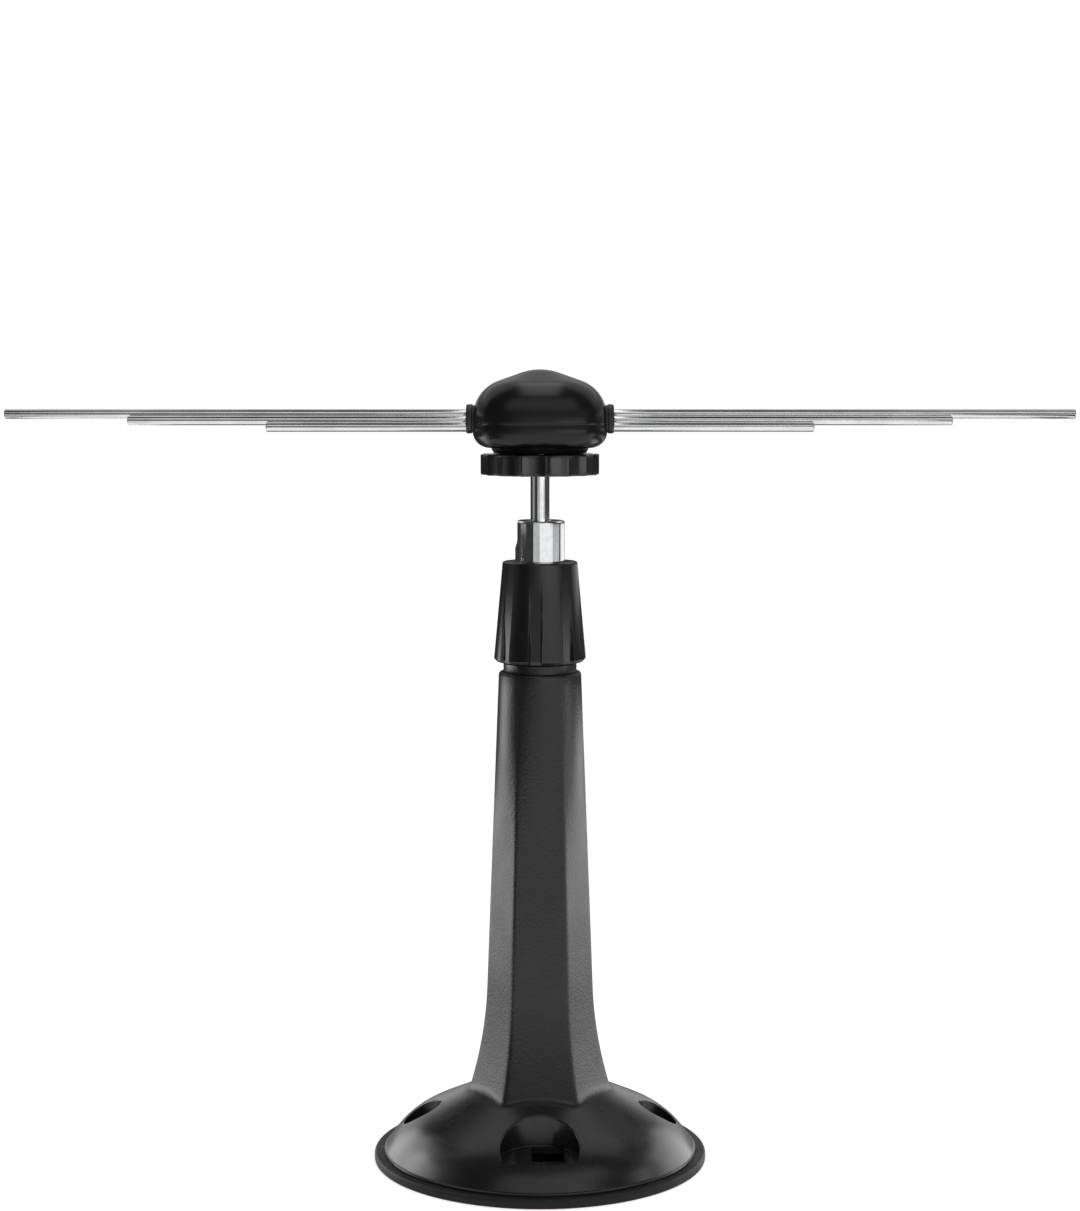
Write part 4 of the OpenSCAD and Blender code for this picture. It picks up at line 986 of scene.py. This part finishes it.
class Wiring:
    """Adds nodes to a tree and joins them, in the order that they are read."""

    def __init__(self, tree):
        self.tree = tree

    def node(self, kind, **settings):
        item = self.tree.nodes.new(kind)
        for key, value in settings.items():
            setattr(item, key, value)
        return item

    def join(self, source, target):
        self.tree.links.new(source, target)

    def feed(self, socket, value):
        """Sets a socket to a number, or joins it to another socket."""
        if isinstance(value, bpy.types.NodeSocket):
            self.join(value, socket)
        else:
            socket.default_value = value

    def place(self):
        """Where a point lies on its own piece, in metres."""
        return self.node("ShaderNodeTexCoord").outputs["Object"]

    def noise(self, vector, scale, detail):
        item = self.node("ShaderNodeTexNoise", noise_dimensions="3D")
        self.join(vector, item.inputs["Vector"])
        self.feed(item.inputs["Scale"], scale)
        item.inputs["Detail"].default_value = detail
        return item.outputs[0]

    def sized_noise(self, vector, size, detail):
        """A noise with cells of a size in millimetres, which a socket gives."""
        return self.noise(vector, self.maths("DIVIDE", 1000.0, size), detail)

    def seen(self):
        """1 for what is seen directly, in a gloss or through a clear surface, and 0 for the rest."""
        paths = self.node("ShaderNodeLightPath").outputs
        seen = self.maths("ADD", paths["Is Camera Ray"], paths["Is Glossy Ray"])
        return self.maths("ADD", seen, paths["Is Transmission Ray"], True)

    def maths(self, operation, a, b=0.0, clamp=False):
        item = self.node("ShaderNodeMath", operation=operation, use_clamp=clamp)
        self.feed(item.inputs[0], a)
        self.feed(item.inputs[1], b)
        return item.outputs[0]

    def between(self, value, from_low, from_high, to_low=0.0, to_high=1.0, smooth=True):
        """Takes a value from one range to another, with soft ends or straight."""
        item = self.node("ShaderNodeMapRange", interpolation_type="SMOOTHSTEP" if smooth else "LINEAR")
        for socket, number in zip(item.inputs, (value, from_low, from_high, to_low, to_high)):
            self.feed(socket, number)
        return item.outputs[0]

    def mixed(self, factor, a, b):
        """A mix of two colours, which this node takes at its sockets 6 and 7."""
        item = self.node("ShaderNodeMix", data_type="RGBA")
        self.feed(item.inputs[0], factor)
        self.feed(item.inputs[6], a)
        self.feed(item.inputs[7], b)
        return item.outputs[2]


def effect_group(name, inputs, outputs):
    """An empty shader node group with named sockets: inputs are (name, default, least, most)."""
    tree = bpy.data.node_groups.new(name, "ShaderNodeTree")
    for label, value, least, most in inputs:
        socket = tree.interface.new_socket(label, in_out="INPUT", socket_type="NodeSocketFloat")
        socket.default_value, socket.min_value, socket.max_value = value, least, most
    for label in outputs:
        tree.interface.new_socket(label, in_out="OUTPUT", socket_type="NodeSocketFloat")
    w = Wiring(tree)
    return w, w.node("NodeGroupInput").outputs, w.node("NodeGroupOutput").inputs


def make_effects():
    """The effects that several finishes share."""
    # The parts of a noise's range that turn into masks
    speckles, clouds, dust, hairlines = (0.42, 0.62), (0.35, 0.65), (0.48, 0.7), (0.45, 0.65)

    # Fine moulded grain: a height for bump, and masks for tone and gloss
    w, given, out = effect_group("Moulded grain", [("Grain size", 0.25, 0.01, 5), ("Cloud size", 12, 1, 200)],
                                 ["Height", "Speckle", "Cloud"])
    place = w.place()
    fine = w.sized_noise(place, given["Grain size"], 1.5)
    cloud = w.sized_noise(place, given["Cloud size"], 3.0)
    w.join(fine, out["Height"])
    w.join(w.between(fine, *speckles), out["Speckle"])
    w.join(w.between(cloud, *clouds), out["Cloud"])

    # Handling: polish and a painted highlight on raised edges, and a thin dust that settles on what faces up
    w, given, out = effect_group("Edge and dust", [("Edge width", 0.06, 0, 1), ("Dust size", 3, 0.1, 50)],
                                 ["Edge", "Dust"])
    geometry = w.node("ShaderNodeNewGeometry").outputs
    edge_top = w.maths("ADD", 0.5, given["Edge width"])
    w.join(w.between(geometry["Pointiness"], 0.51, edge_top), out["Edge"])
    facing = w.node("ShaderNodeSeparateXYZ")
    w.join(geometry["Normal"], facing.inputs[0])
    upward = w.between(facing.outputs["Z"], 0.5, 1.0)
    speck = w.sized_noise(w.place(), given["Dust size"], 5.0)
    w.join(w.maths("MULTIPLY", upward, w.between(speck, *dust)), out["Dust"])

    # Drawn or turned metal: a soft waviness, hairlines along one axis and clouds in the tone
    w, given, out = effect_group("Plated surface", [("Along X", 1, 0, 1), ("Wave size", 4, 0.2, 60)],
                                 ["Height", "Hairline", "Cloud"])
    place = w.place()
    wave = w.sized_noise(place, given["Wave size"], 1.0)
    # A fine noise, drawn out fifty times along X or Z, makes the lines
    drawn_out, line_scale = 0.02, 5200.0
    scale = w.node("ShaderNodeCombineXYZ")
    scale.inputs["Y"].default_value = 1.0
    w.join(w.between(given["Along X"], 0.0, 1.0, 1.0, drawn_out, False), scale.inputs["X"])
    w.join(w.between(given["Along X"], 0.0, 1.0, drawn_out, 1.0, False), scale.inputs["Z"])
    stretch = w.node("ShaderNodeMapping")
    w.join(place, stretch.inputs["Vector"])
    w.join(scale.outputs[0], stretch.inputs["Scale"])
    line = w.noise(stretch.outputs[0], line_scale, 2.0)
    w.join(wave, out["Height"])
    w.join(w.between(line, *hairlines), out["Hairline"])
    w.join(w.between(wave, *clouds), out["Cloud"])


def new_finish(name):
    """A new material, as the wiring of its nodes and its shader."""
    material = bpy.data.materials.new(name)
    material.use_nodes = True
    return Wiring(material.node_tree), material.node_tree.nodes["Principled BSDF"]


def placed_group(w, name, **values):
    """Places an effect's group with its values, whose names have _ for each space."""
    item = w.node("ShaderNodeGroup", node_tree=bpy.data.node_groups[name])
    for key, value in values.items():
        item.inputs[key.replace("_", " ")].default_value = value
    return item.outputs


def tone(rgb, factor):
    """A darker or lighter tone of a colour."""
    return (*(min(1.0, c * factor) for c in rgb), 1.0)


def add_bump(w, shader, height, distance):
    """Gives the shader a bump that is as high as the distance, in millimetres."""
    bump = w.node("ShaderNodeBump")
    bump.inputs["Strength"].default_value = 1.0
    bump.inputs["Distance"].default_value = distance * MM
    w.join(height, bump.inputs["Height"])
    w.join(bump.outputs[0], shader.inputs["Normal"])
    return bump


# Mouldings: tones of the grain, what polish and a painted highlight do to edges, and what dust does
GRAIN_TONES = (0.86, 1.12)
GLOSS_CLOUDS = 0.1
EDGE_SHEEN_TONE, EDGE_SHEEN_SHARE, POLISH_GLOSS = 2.0, 0.5, 0.08
DUST_COLOUR, DUST_SHARE, DUST_DULLS = (0.3, 0.29, 0.28, 1.0), 0.012, 0.03

# Plated metal: tones of its clouds, and what hairlines do
PLATE_TONES = (0.94, 1.03)
LINE_TONE, LINE_DULLS = 0.8, 1.4


def plastic(name, rgb, roughness, grain, bump, specular=0.5):
    """Moulded plastic or rubber: grain and clouds in tone and gloss, polished edges with a painted highlight,
    a little dust.
    """
    w, shader = new_finish(name)
    surface = placed_group(w, "Moulded grain", Grain_size=grain, Cloud_size=14)
    sheen_and_wear = placed_group(w, "Edge and dust", Edge_width=0.05, Dust_size=2.5)
    edge, dust = sheen_and_wear["Edge"], sheen_and_wear["Dust"]
    base = w.mixed(surface["Speckle"], *(tone(rgb, factor) for factor in GRAIN_TONES))
    # Painted highlight: raised edges are lightened in colour
    base = w.mixed(w.maths("MULTIPLY", edge, EDGE_SHEEN_SHARE), base, tone(rgb, EDGE_SHEEN_TONE))
    base = w.mixed(w.maths("MULTIPLY", dust, DUST_SHARE), base, DUST_COLOUR)
    w.join(base, shader.inputs["Base Color"])
    rough = w.between(surface["Cloud"], 0.0, 1.0, roughness * (1 - GLOSS_CLOUDS),
                      roughness * (1 + GLOSS_CLOUDS), False)
    rough = w.maths("SUBTRACT", rough, w.maths("MULTIPLY", edge, POLISH_GLOSS))
    rough = w.maths("ADD", rough, w.maths("MULTIPLY", dust, DUST_DULLS), True)
    w.join(rough, shader.inputs["Roughness"])
    shader.inputs["Specular IOR Level"].default_value = specular
    return w, shader, rough, add_bump(w, shader, surface["Height"], bump)


def metal(name, rgb, roughness, along_x, wave, bump, lines=0.25):
    """Plated or turned metal: a soft waviness, clouds in its tone, and hairlines as strong as lines."""
    w, shader = new_finish(name)
    surface = placed_group(w, "Plated surface", Along_X=along_x, Wave_size=wave)
    base = w.mixed(surface["Cloud"], *(tone(rgb, factor) for factor in PLATE_TONES))
    base = w.mixed(w.maths("MULTIPLY", surface["Hairline"], lines), base, tone(rgb, LINE_TONE))
    w.join(base, shader.inputs["Base Color"])
    shader.inputs["Metallic"].default_value = 1.0
    rough = w.between(surface["Hairline"], 0.0, 1.0, roughness, roughness * (1 + LINE_DULLS * lines), False)
    w.join(rough, shader.inputs["Roughness"])
    add_bump(w, shader, surface["Height"], bump)


def make_finishes():
    c = sizes("antenna_finish")
    make_effects()

    # The pedestal's moulding: glossy on the dome, grained and duller up the column
    w, shader, rough, bump = plastic("Black moulding", c.black, c.dome_gloss, 0.8, 0.09)
    dome_from, column_from, dome_grain = 27.5 * MM, 23.5 * MM, 0.04
    place = w.node("ShaderNodeSeparateXYZ")
    w.join(w.place(), place.inputs[0])
    x, y = place.outputs["X"], place.outputs["Y"]
    from_axis = w.maths("SQRT", w.maths("ADD", w.maths("MULTIPLY", x, x), w.maths("MULTIPLY", y, y)))
    on_column = w.between(from_axis, dome_from, column_from)
    duller = w.maths("MULTIPLY", on_column, c.column_gloss - c.dome_gloss)
    w.join(w.maths("ADD", rough, duller, True), shader.inputs["Roughness"])
    w.join(w.between(on_column, 0.0, 1.0, dome_grain, 1.0, False), bump.inputs["Strength"])

    # Roughness, size of the grain and height of the bump, both in millimetres, and how specular it is
    plastic("Collar plastic", c.collar_black, 0.25, 0.3, 0.004)
    plastic("Knob plastic", c.collar_black, 0.24, 0.3, 0.004, 0.7)
    plastic("Head plastic", c.head_black, 0.26, 0.3, 0.003, 0.3)
    plastic("Gasket rubber", c.rubber, 0.5, 0.5, 0.01, 0.2)
    plastic("Grommet rubber", c.rubber, 0.42, 0.4, 0.006, 0.4)
    plastic("Pad plastic", (0.04, 0.04, 0.042), 0.45, 0.3, 0.004)
    plastic("Board laminate", c.board, 0.35, 0.8, 0.006)
    plastic("Ferrite", c.ferrite, 0.6, 0.2, 0.015)
    # Roughness, hairlines along X (1) or Z (0), size of the waves and height of the bump, in millimetres
    metal("Bright plate", c.plate, 0.07, 0.0, 2.2, 0.004)
    metal("Rod plate", c.rods, 0.15, 1.0, 9, 0.001, 0.06)
    metal("Nickel plate", c.nickel, 0.2, 0.0, 2, 0.004)
    metal("Brass", c.brass, 0.28, 0.0, 2, 0.004)
    metal("Zinc plate", c.zinc, 0.3, 0.0, 1.5, 0.004)
    metal("Copper lead", c.copper, 0.25, 0.0, 2, 0.003)


# Stage

def area_lamp(name, place, target, width, height, power):
    """A soft lamp at place that faces target."""
    lamp = bpy.data.lights.new(name, "AREA")
    lamp.shape = "RECTANGLE"
    lamp.size, lamp.size_y, lamp.energy = width, height, power
    piece = bpy.data.objects.new(name, lamp)
    bpy.context.scene.collection.objects.link(piece)
    piece.location = place
    direction = [t - p for t, p in zip(target, place)]
    flat = math.hypot(direction[0], direction[1])
    piece.rotation_euler = (math.atan2(flat, -direction[2]), 0.0, -math.atan2(direction[0], direction[1]))
    piece.visible_camera = False
    return piece


def make_floor():
    """A pale floor that reads as white where nothing shades it, and keeps the object's shadow."""
    half = 6.0
    mesh = bpy.data.meshes.new("floor")
    mesh.from_pydata([(-half, -half, 0), (half, -half, 0), (half, half, 0), (-half, half, 0)], [],
                     [(0, 1, 2, 3)])
    floor = bpy.data.objects.new("floor", mesh)
    # A hair under the gasket, so that the two don't share a plane
    floor.location.z = -0.02 * MM
    bpy.context.scene.collection.objects.link(floor)
    w, shader = new_finish("Pale floor")
    shader.inputs["Base Color"].default_value = (0.8, 0.8, 0.8, 1.0)
    shader.inputs["Roughness"].default_value = 0.9
    shader.inputs["Specular IOR Level"].default_value = 0.1
    # The floor's own glow makes it white, but the patch under the base gives none through its openings
    glow_level, dark_r, glow_r = 0.55, 51 * MM, 56 * MM
    place = w.node("ShaderNodeVectorMath", operation="LENGTH")
    w.join(w.place(), place.inputs[0])
    clear = w.between(place.outputs["Value"], dark_r, glow_r)
    glow = w.node("ShaderNodeEmission")
    w.join(w.maths("MULTIPLY", w.maths("MULTIPLY", w.seen(), clear), glow_level), glow.inputs["Strength"])
    total = w.node("ShaderNodeAddShader")
    w.join(shader.outputs[0], total.inputs[0])
    w.join(glow.outputs[0], total.inputs[1])
    w.join(total.outputs[0], w.tree.nodes["Material Output"].inputs["Surface"])
    mesh.materials.append(bpy.data.materials["Pale floor"])


def make_world(s):
    """White where the camera, a gloss or a clear surface sees it, and an even fill for the rest."""
    world = bpy.data.worlds.new("White room")
    world.use_nodes = True
    bpy.context.scene.world = world
    w = Wiring(world.node_tree)
    back = world.node_tree.nodes["Background"]
    back.inputs["Color"].default_value = (1.0, 1.0, 1.0, 1.0)
    w.join(w.between(w.seen(), 0.0, 1.0, s.fill, 1.0, False), back.inputs["Strength"])


def card(name, corners, faces, level):
    """A studio card that only reflections show: a level of 0 is black, 1 is white and more is brighter."""
    mesh = bpy.data.meshes.new(name)
    mesh.from_pydata(corners, [], faces)
    piece = bpy.data.objects.new(name, mesh)
    bpy.context.scene.collection.objects.link(piece)
    piece.visible_camera = piece.visible_diffuse = piece.visible_shadow = False
    piece.visible_transmission = piece.visible_volume_scatter = False
    w = new_finish(name)[0]
    glow = w.node("ShaderNodeEmission")
    glow.inputs["Color"].default_value = (1.0, 1.0, 1.0, 1.0)
    glow.inputs["Strength"].default_value = level
    w.join(glow.outputs[0], w.tree.nodes["Material Output"].inputs["Surface"])
    mesh.materials.append(bpy.data.materials[name])


def round_card(name, turn0, turn1, low_end, high_end, level):
    """A card bent round the object: turns in degrees from the front towards +X, ends as (radius, height)."""
    step = 6
    steps = max(1, int(abs(turn1 - turn0) / step))
    corners = []
    for k in range(steps + 1):
        a = math.radians(turn0 + (turn1 - turn0) * k / steps)
        corners += [(r * math.sin(a), -r * math.cos(a), z) for r, z in (low_end, high_end)]
    faces = [(2 * k, 2 * k + 2, 2 * k + 3, 2 * k + 1) for k in range(steps)]
    card(name, corners, faces, level)


def hang_cards(s):
    """The softbox and the dark cards that give the glossy pieces their form."""
    dark, light = s.flag, s.softbox
    # A round room: its radius, the turns where its front starts and ends, and where its back ends
    far, left, right, round_again = 0.9, -98, 98, 262

    # The front, one row for each band of heights: its cards from left to right, each up to a turn
    rows = (((0.0, 0.115), ((-24, dark), (right, 0.7 * light))),
            ((0.115, 0.19), ((-31, dark), (-3, 0.7 * light), (-0.5, dark), (60, 1.2 * light),
                             (right, 0.7 * light))),
            ((0.19, 0.212), ((-31, dark), (60, 0.4 * light), (right, dark))),
            ((0.212, 0.31), ((-31, dark), (60, 0.22 * light), (right, dark))),
            ((0.31, 0.62), ((-31, dark), (-8, 0.2 * light), (72, 0.4 * light), (right, dark))),
            ((0.62, 1.2), ((-36, dark), (46, 1.1 * light), (right, dark))))
    for (z0, z1), row in rows:
        turn = left
        for k, (end, level) in enumerate(row):
            round_card("Card %d mm %d" % (z0 * 1000, k), turn, end, (far, z0), (far, z1), level)
            turn = end

    # Overhead: light fields before and behind the object, and dark between them
    round_card("Card glow", -36, 46, (far, 1.2), (0.5, 1.28), 1.3 * light)
    # Low over the head, for its roof
    roof = [(-0.02, -0.07, 0.36), (0.022, -0.07, 0.36), (0.022, 0.03, 0.34), (-0.02, 0.03, 0.34)]
    card("Card roof", roof, [(0, 1, 2, 3)], 2.8 * light)
    for z0, z1, level in ((0.36, 0.6, 0.4 * light), (0.6, 1.2, light)):
        round_card("Card behind %d mm" % (z0 * 1000), right, round_again, (far, z0), (far, z1), level)
    round_card("Card over", left, right, (far, 1.21), (0.0, 1.3), dark)
    round_card("Card over behind", right, round_again, (far, 1.21), (0.33, 1.25), light)
    round_card("Card over middle", right, round_again, (0.33, 1.25), (0.0, 1.3), dark)

    # On the floor: behind, for the darker lower line of the rods, and at the left
    on_floor = 1 * MM
    round_card("Card floor", 100, 260, (0.06, on_floor), (far, on_floor), 7 * dark)
    round_card("Card floor left", left, -45, (0.3, on_floor), (far, on_floor), dark)

    # Small bands near the object, for the knob, the stud, the socket and the collar:
    # radius, turns from and to, heights from and to, and brightness
    bands = ((0.2, -180, -100, 0.205, 0.236, dark), (0.3, -100, -66, 0.195, 0.228, 7 * dark),
             (0.2, -31, -24, 0.236, 0.249, dark), (0.2, 46, 180, 0.205, 0.236, 1.6 * dark),
             (0.2, -180, -97, 0.183, 0.205, dark), (0.2, 98, 109, 0.183, 0.205, dark),
             (0.2, 152, 180, 0.183, 0.205, 10 * dark), (0.2, -2, 60, 0.165, 0.2245, 1.3 * light),
             (0.3, -114, -84, 0.083, 0.177, 3.8 * light), (0.2, -180, -127, 0.1, 0.183, dark),
             (0.3, 72, 89, 0.0975, 0.177, 3.6 * light), (0.2, 88, 180, 0.13, 0.183, dark),
             (0.19, 12, 58, 0.2245, 0.249, 2.6 * light), (0.2, 97, 180, 0.236, 0.249, dark),
             (0.2, -180, -97, 0.236, 0.249, dark), (0.2, -125, -75, 0.173, 0.183, dark),
             (0.2, 62, 88, 0.173, 0.183, dark), (0.19, -15, 12, 0.2245, 0.249, 1.3 * light))
    for letter, (r, turn0, turn1, z0, z1, level) in zip("ABCDEFGHIJKLMNOPQR", bands):
        round_card("Flag " + letter, turn0, turn1, (r, z0), (r, z1), level)


def make_camera(s):
    camera = bpy.data.cameras.new("Front view")
    camera.sensor_fit = "AUTO"
    camera.sensor_width = 36.0
    camera.lens = s.lens
    camera.clip_start = 0.01
    piece = bpy.data.objects.new("Front view", camera)
    bpy.context.scene.collection.objects.link(piece)
    piece.location = (0.0, -s.camera_y, s.camera_z)
    piece.rotation_euler = (math.pi / 2 - s.camera_pitch, 0.0, 0.0)
    bpy.context.scene.camera = piece


def set_stage():
    s = sizes("antenna_stage")
    bpy.context.scene.view_settings.view_transform = "Standard"
    make_camera(s)
    make_floor()
    make_world(s)
    # The side lamps stand a little behind the object, level with the middle of the column
    side_x, side_y, side_z, side_w, side_h = 0.22, 0.123, 0.0855, 0.18, 0.17
    for name, side in (("Lamp left", -1), ("Lamp right", 1)):
        area_lamp(name, (side * side_x, side_y, side_z), (0.0, 0.0, side_z), side_w, side_h, s.side_power)
    front_place, front_target = (0.45, -0.95, 0.8), (0.0, 0.0, 0.15)
    front = area_lamp("Lamp front", front_place, front_target, 0.6, 0.5, s.front_power)
    # Its gloss is the cards' work
    front.visible_glossy = False
    hang_cards(s)


# Operators: one for each piece or group of like pieces, and one for the stage

class ANTENNA_OT_finishes(Operator):
    """Make the antenna's finishes"""
    bl_idname = "antenna.finishes"
    bl_label = "Finishes"

    def execute(self, context):
        make_finishes()
        finish_nodes()
        return {"FINISHED"}


class ANTENNA_OT_pedestal(Operator):
    """Build the dome and the column, with their recesses"""
    bl_idname = "antenna.pedestal"
    bl_label = "Pedestal"

    def execute(self, context):
        build_pedestal()
        return {"FINISHED"}


class ANTENNA_OT_gasket(Operator):
    """Build the soft ring under the dome"""
    bl_idname = "antenna.gasket"
    bl_label = "Gasket"

    def execute(self, context):
        build_gasket()
        return {"FINISHED"}


class ANTENNA_OT_collar(Operator):
    """Build the fluted clamp collar"""
    bl_idname = "antenna.collar"
    bl_label = "Clamp collar"

    def execute(self, context):
        build_collar()
        return {"FINISHED"}


class ANTENNA_OT_ball_joint(Operator):
    """Build the plated ball socket and the stud with its ball"""
    bl_idname = "antenna.ball_joint"
    bl_label = "Ball joint"

    def execute(self, context):
        build_ball_joint()
        return {"FINISHED"}


class ANTENNA_OT_knob(Operator):
    """Build the scalloped lock knob"""
    bl_idname = "antenna.knob"
    bl_label = "Lock knob"

    def execute(self, context):
        build_knob()
        return {"FINISHED"}


class ANTENNA_OT_head(Operator):
    """Build the two shells of the head"""
    bl_idname = "antenna.head"
    bl_label = "Head shells"

    def execute(self, context):
        build_head()
        return {"FINISHED"}


class ANTENNA_OT_grommets(Operator):
    """Build the two grommets that the rods come out of"""
    bl_idname = "antenna.grommets"
    bl_label = "Grommets"

    def execute(self, context):
        build_grommets()
        return {"FINISHED"}


class ANTENNA_OT_rods(Operator):
    """Build the six plated rods"""
    bl_idname = "antenna.rods"
    bl_label = "Rods"

    def execute(self, context):
        build_rods()
        return {"FINISHED"}


class ANTENNA_OT_aerial_socket(Operator):
    """Build the threaded aerial socket and its nut"""
    bl_idname = "antenna.aerial_socket"
    bl_label = "Aerial socket"

    def execute(self, context):
        build_aerial_socket()
        build_socket_nut()
        return {"FINISHED"}


class ANTENNA_OT_stage(Operator):
    """Set the camera, the lamps, the floor and the white room"""
    bl_idname = "antenna.stage"
    bl_label = "Stage"

    def execute(self, context):
        set_stage()
        return {"FINISHED"}


OPERATORS = (ANTENNA_OT_finishes, ANTENNA_OT_pedestal, ANTENNA_OT_gasket, ANTENNA_OT_collar,
             ANTENNA_OT_ball_joint, ANTENNA_OT_knob, ANTENNA_OT_head, ANTENNA_OT_grommets, ANTENNA_OT_rods,
             ANTENNA_OT_aerial_socket, ANTENNA_OT_stage)

SETTINGS = {"antenna_base": BaseSizes, "antenna_collar": CollarSizes, "antenna_knob": KnobSizes,
            "antenna_head": HeadSizes, "antenna_finish": FinishColours, "antenna_stage": StageSettings}


class ANTENNA_PT_sidebar(Panel):
    """Lists the antenna's builders and its sizes"""
    bl_label = "Radio antenna"
    bl_idname = "ANTENNA_PT_sidebar"
    bl_space_type = "VIEW_3D"
    bl_region_type = "UI"
    bl_category = "Antenna"

    def draw(self, context):
        layout = self.layout
        for operator in OPERATORS:
            layout.operator(operator.bl_idname)
        for name, group in SETTINGS.items():
            box = layout.box()
            box.label(text=group.__doc__)
            for key in group.__annotations__:
                box.prop(getattr(context.scene, name), key)


def register():
    for group in SETTINGS.values():
        bpy.utils.register_class(group)
    for operator in OPERATORS:
        bpy.utils.register_class(operator)
    bpy.utils.register_class(ANTENNA_PT_sidebar)
    for name, group in SETTINGS.items():
        setattr(bpy.types.Scene, name, PointerProperty(type=group))


def unregister():
    for name in SETTINGS:
        delattr(bpy.types.Scene, name)
    bpy.utils.unregister_class(ANTENNA_PT_sidebar)
    for operator in reversed(OPERATORS):
        bpy.utils.unregister_class(operator)
    for group in reversed(list(SETTINGS.values())):
        bpy.utils.unregister_class(group)


def main():
    register()
    for operator in OPERATORS:
        group, name = operator.bl_idname.split(".")
        getattr(getattr(bpy.ops, group), name)()


if __name__ == "__main__":
    main()
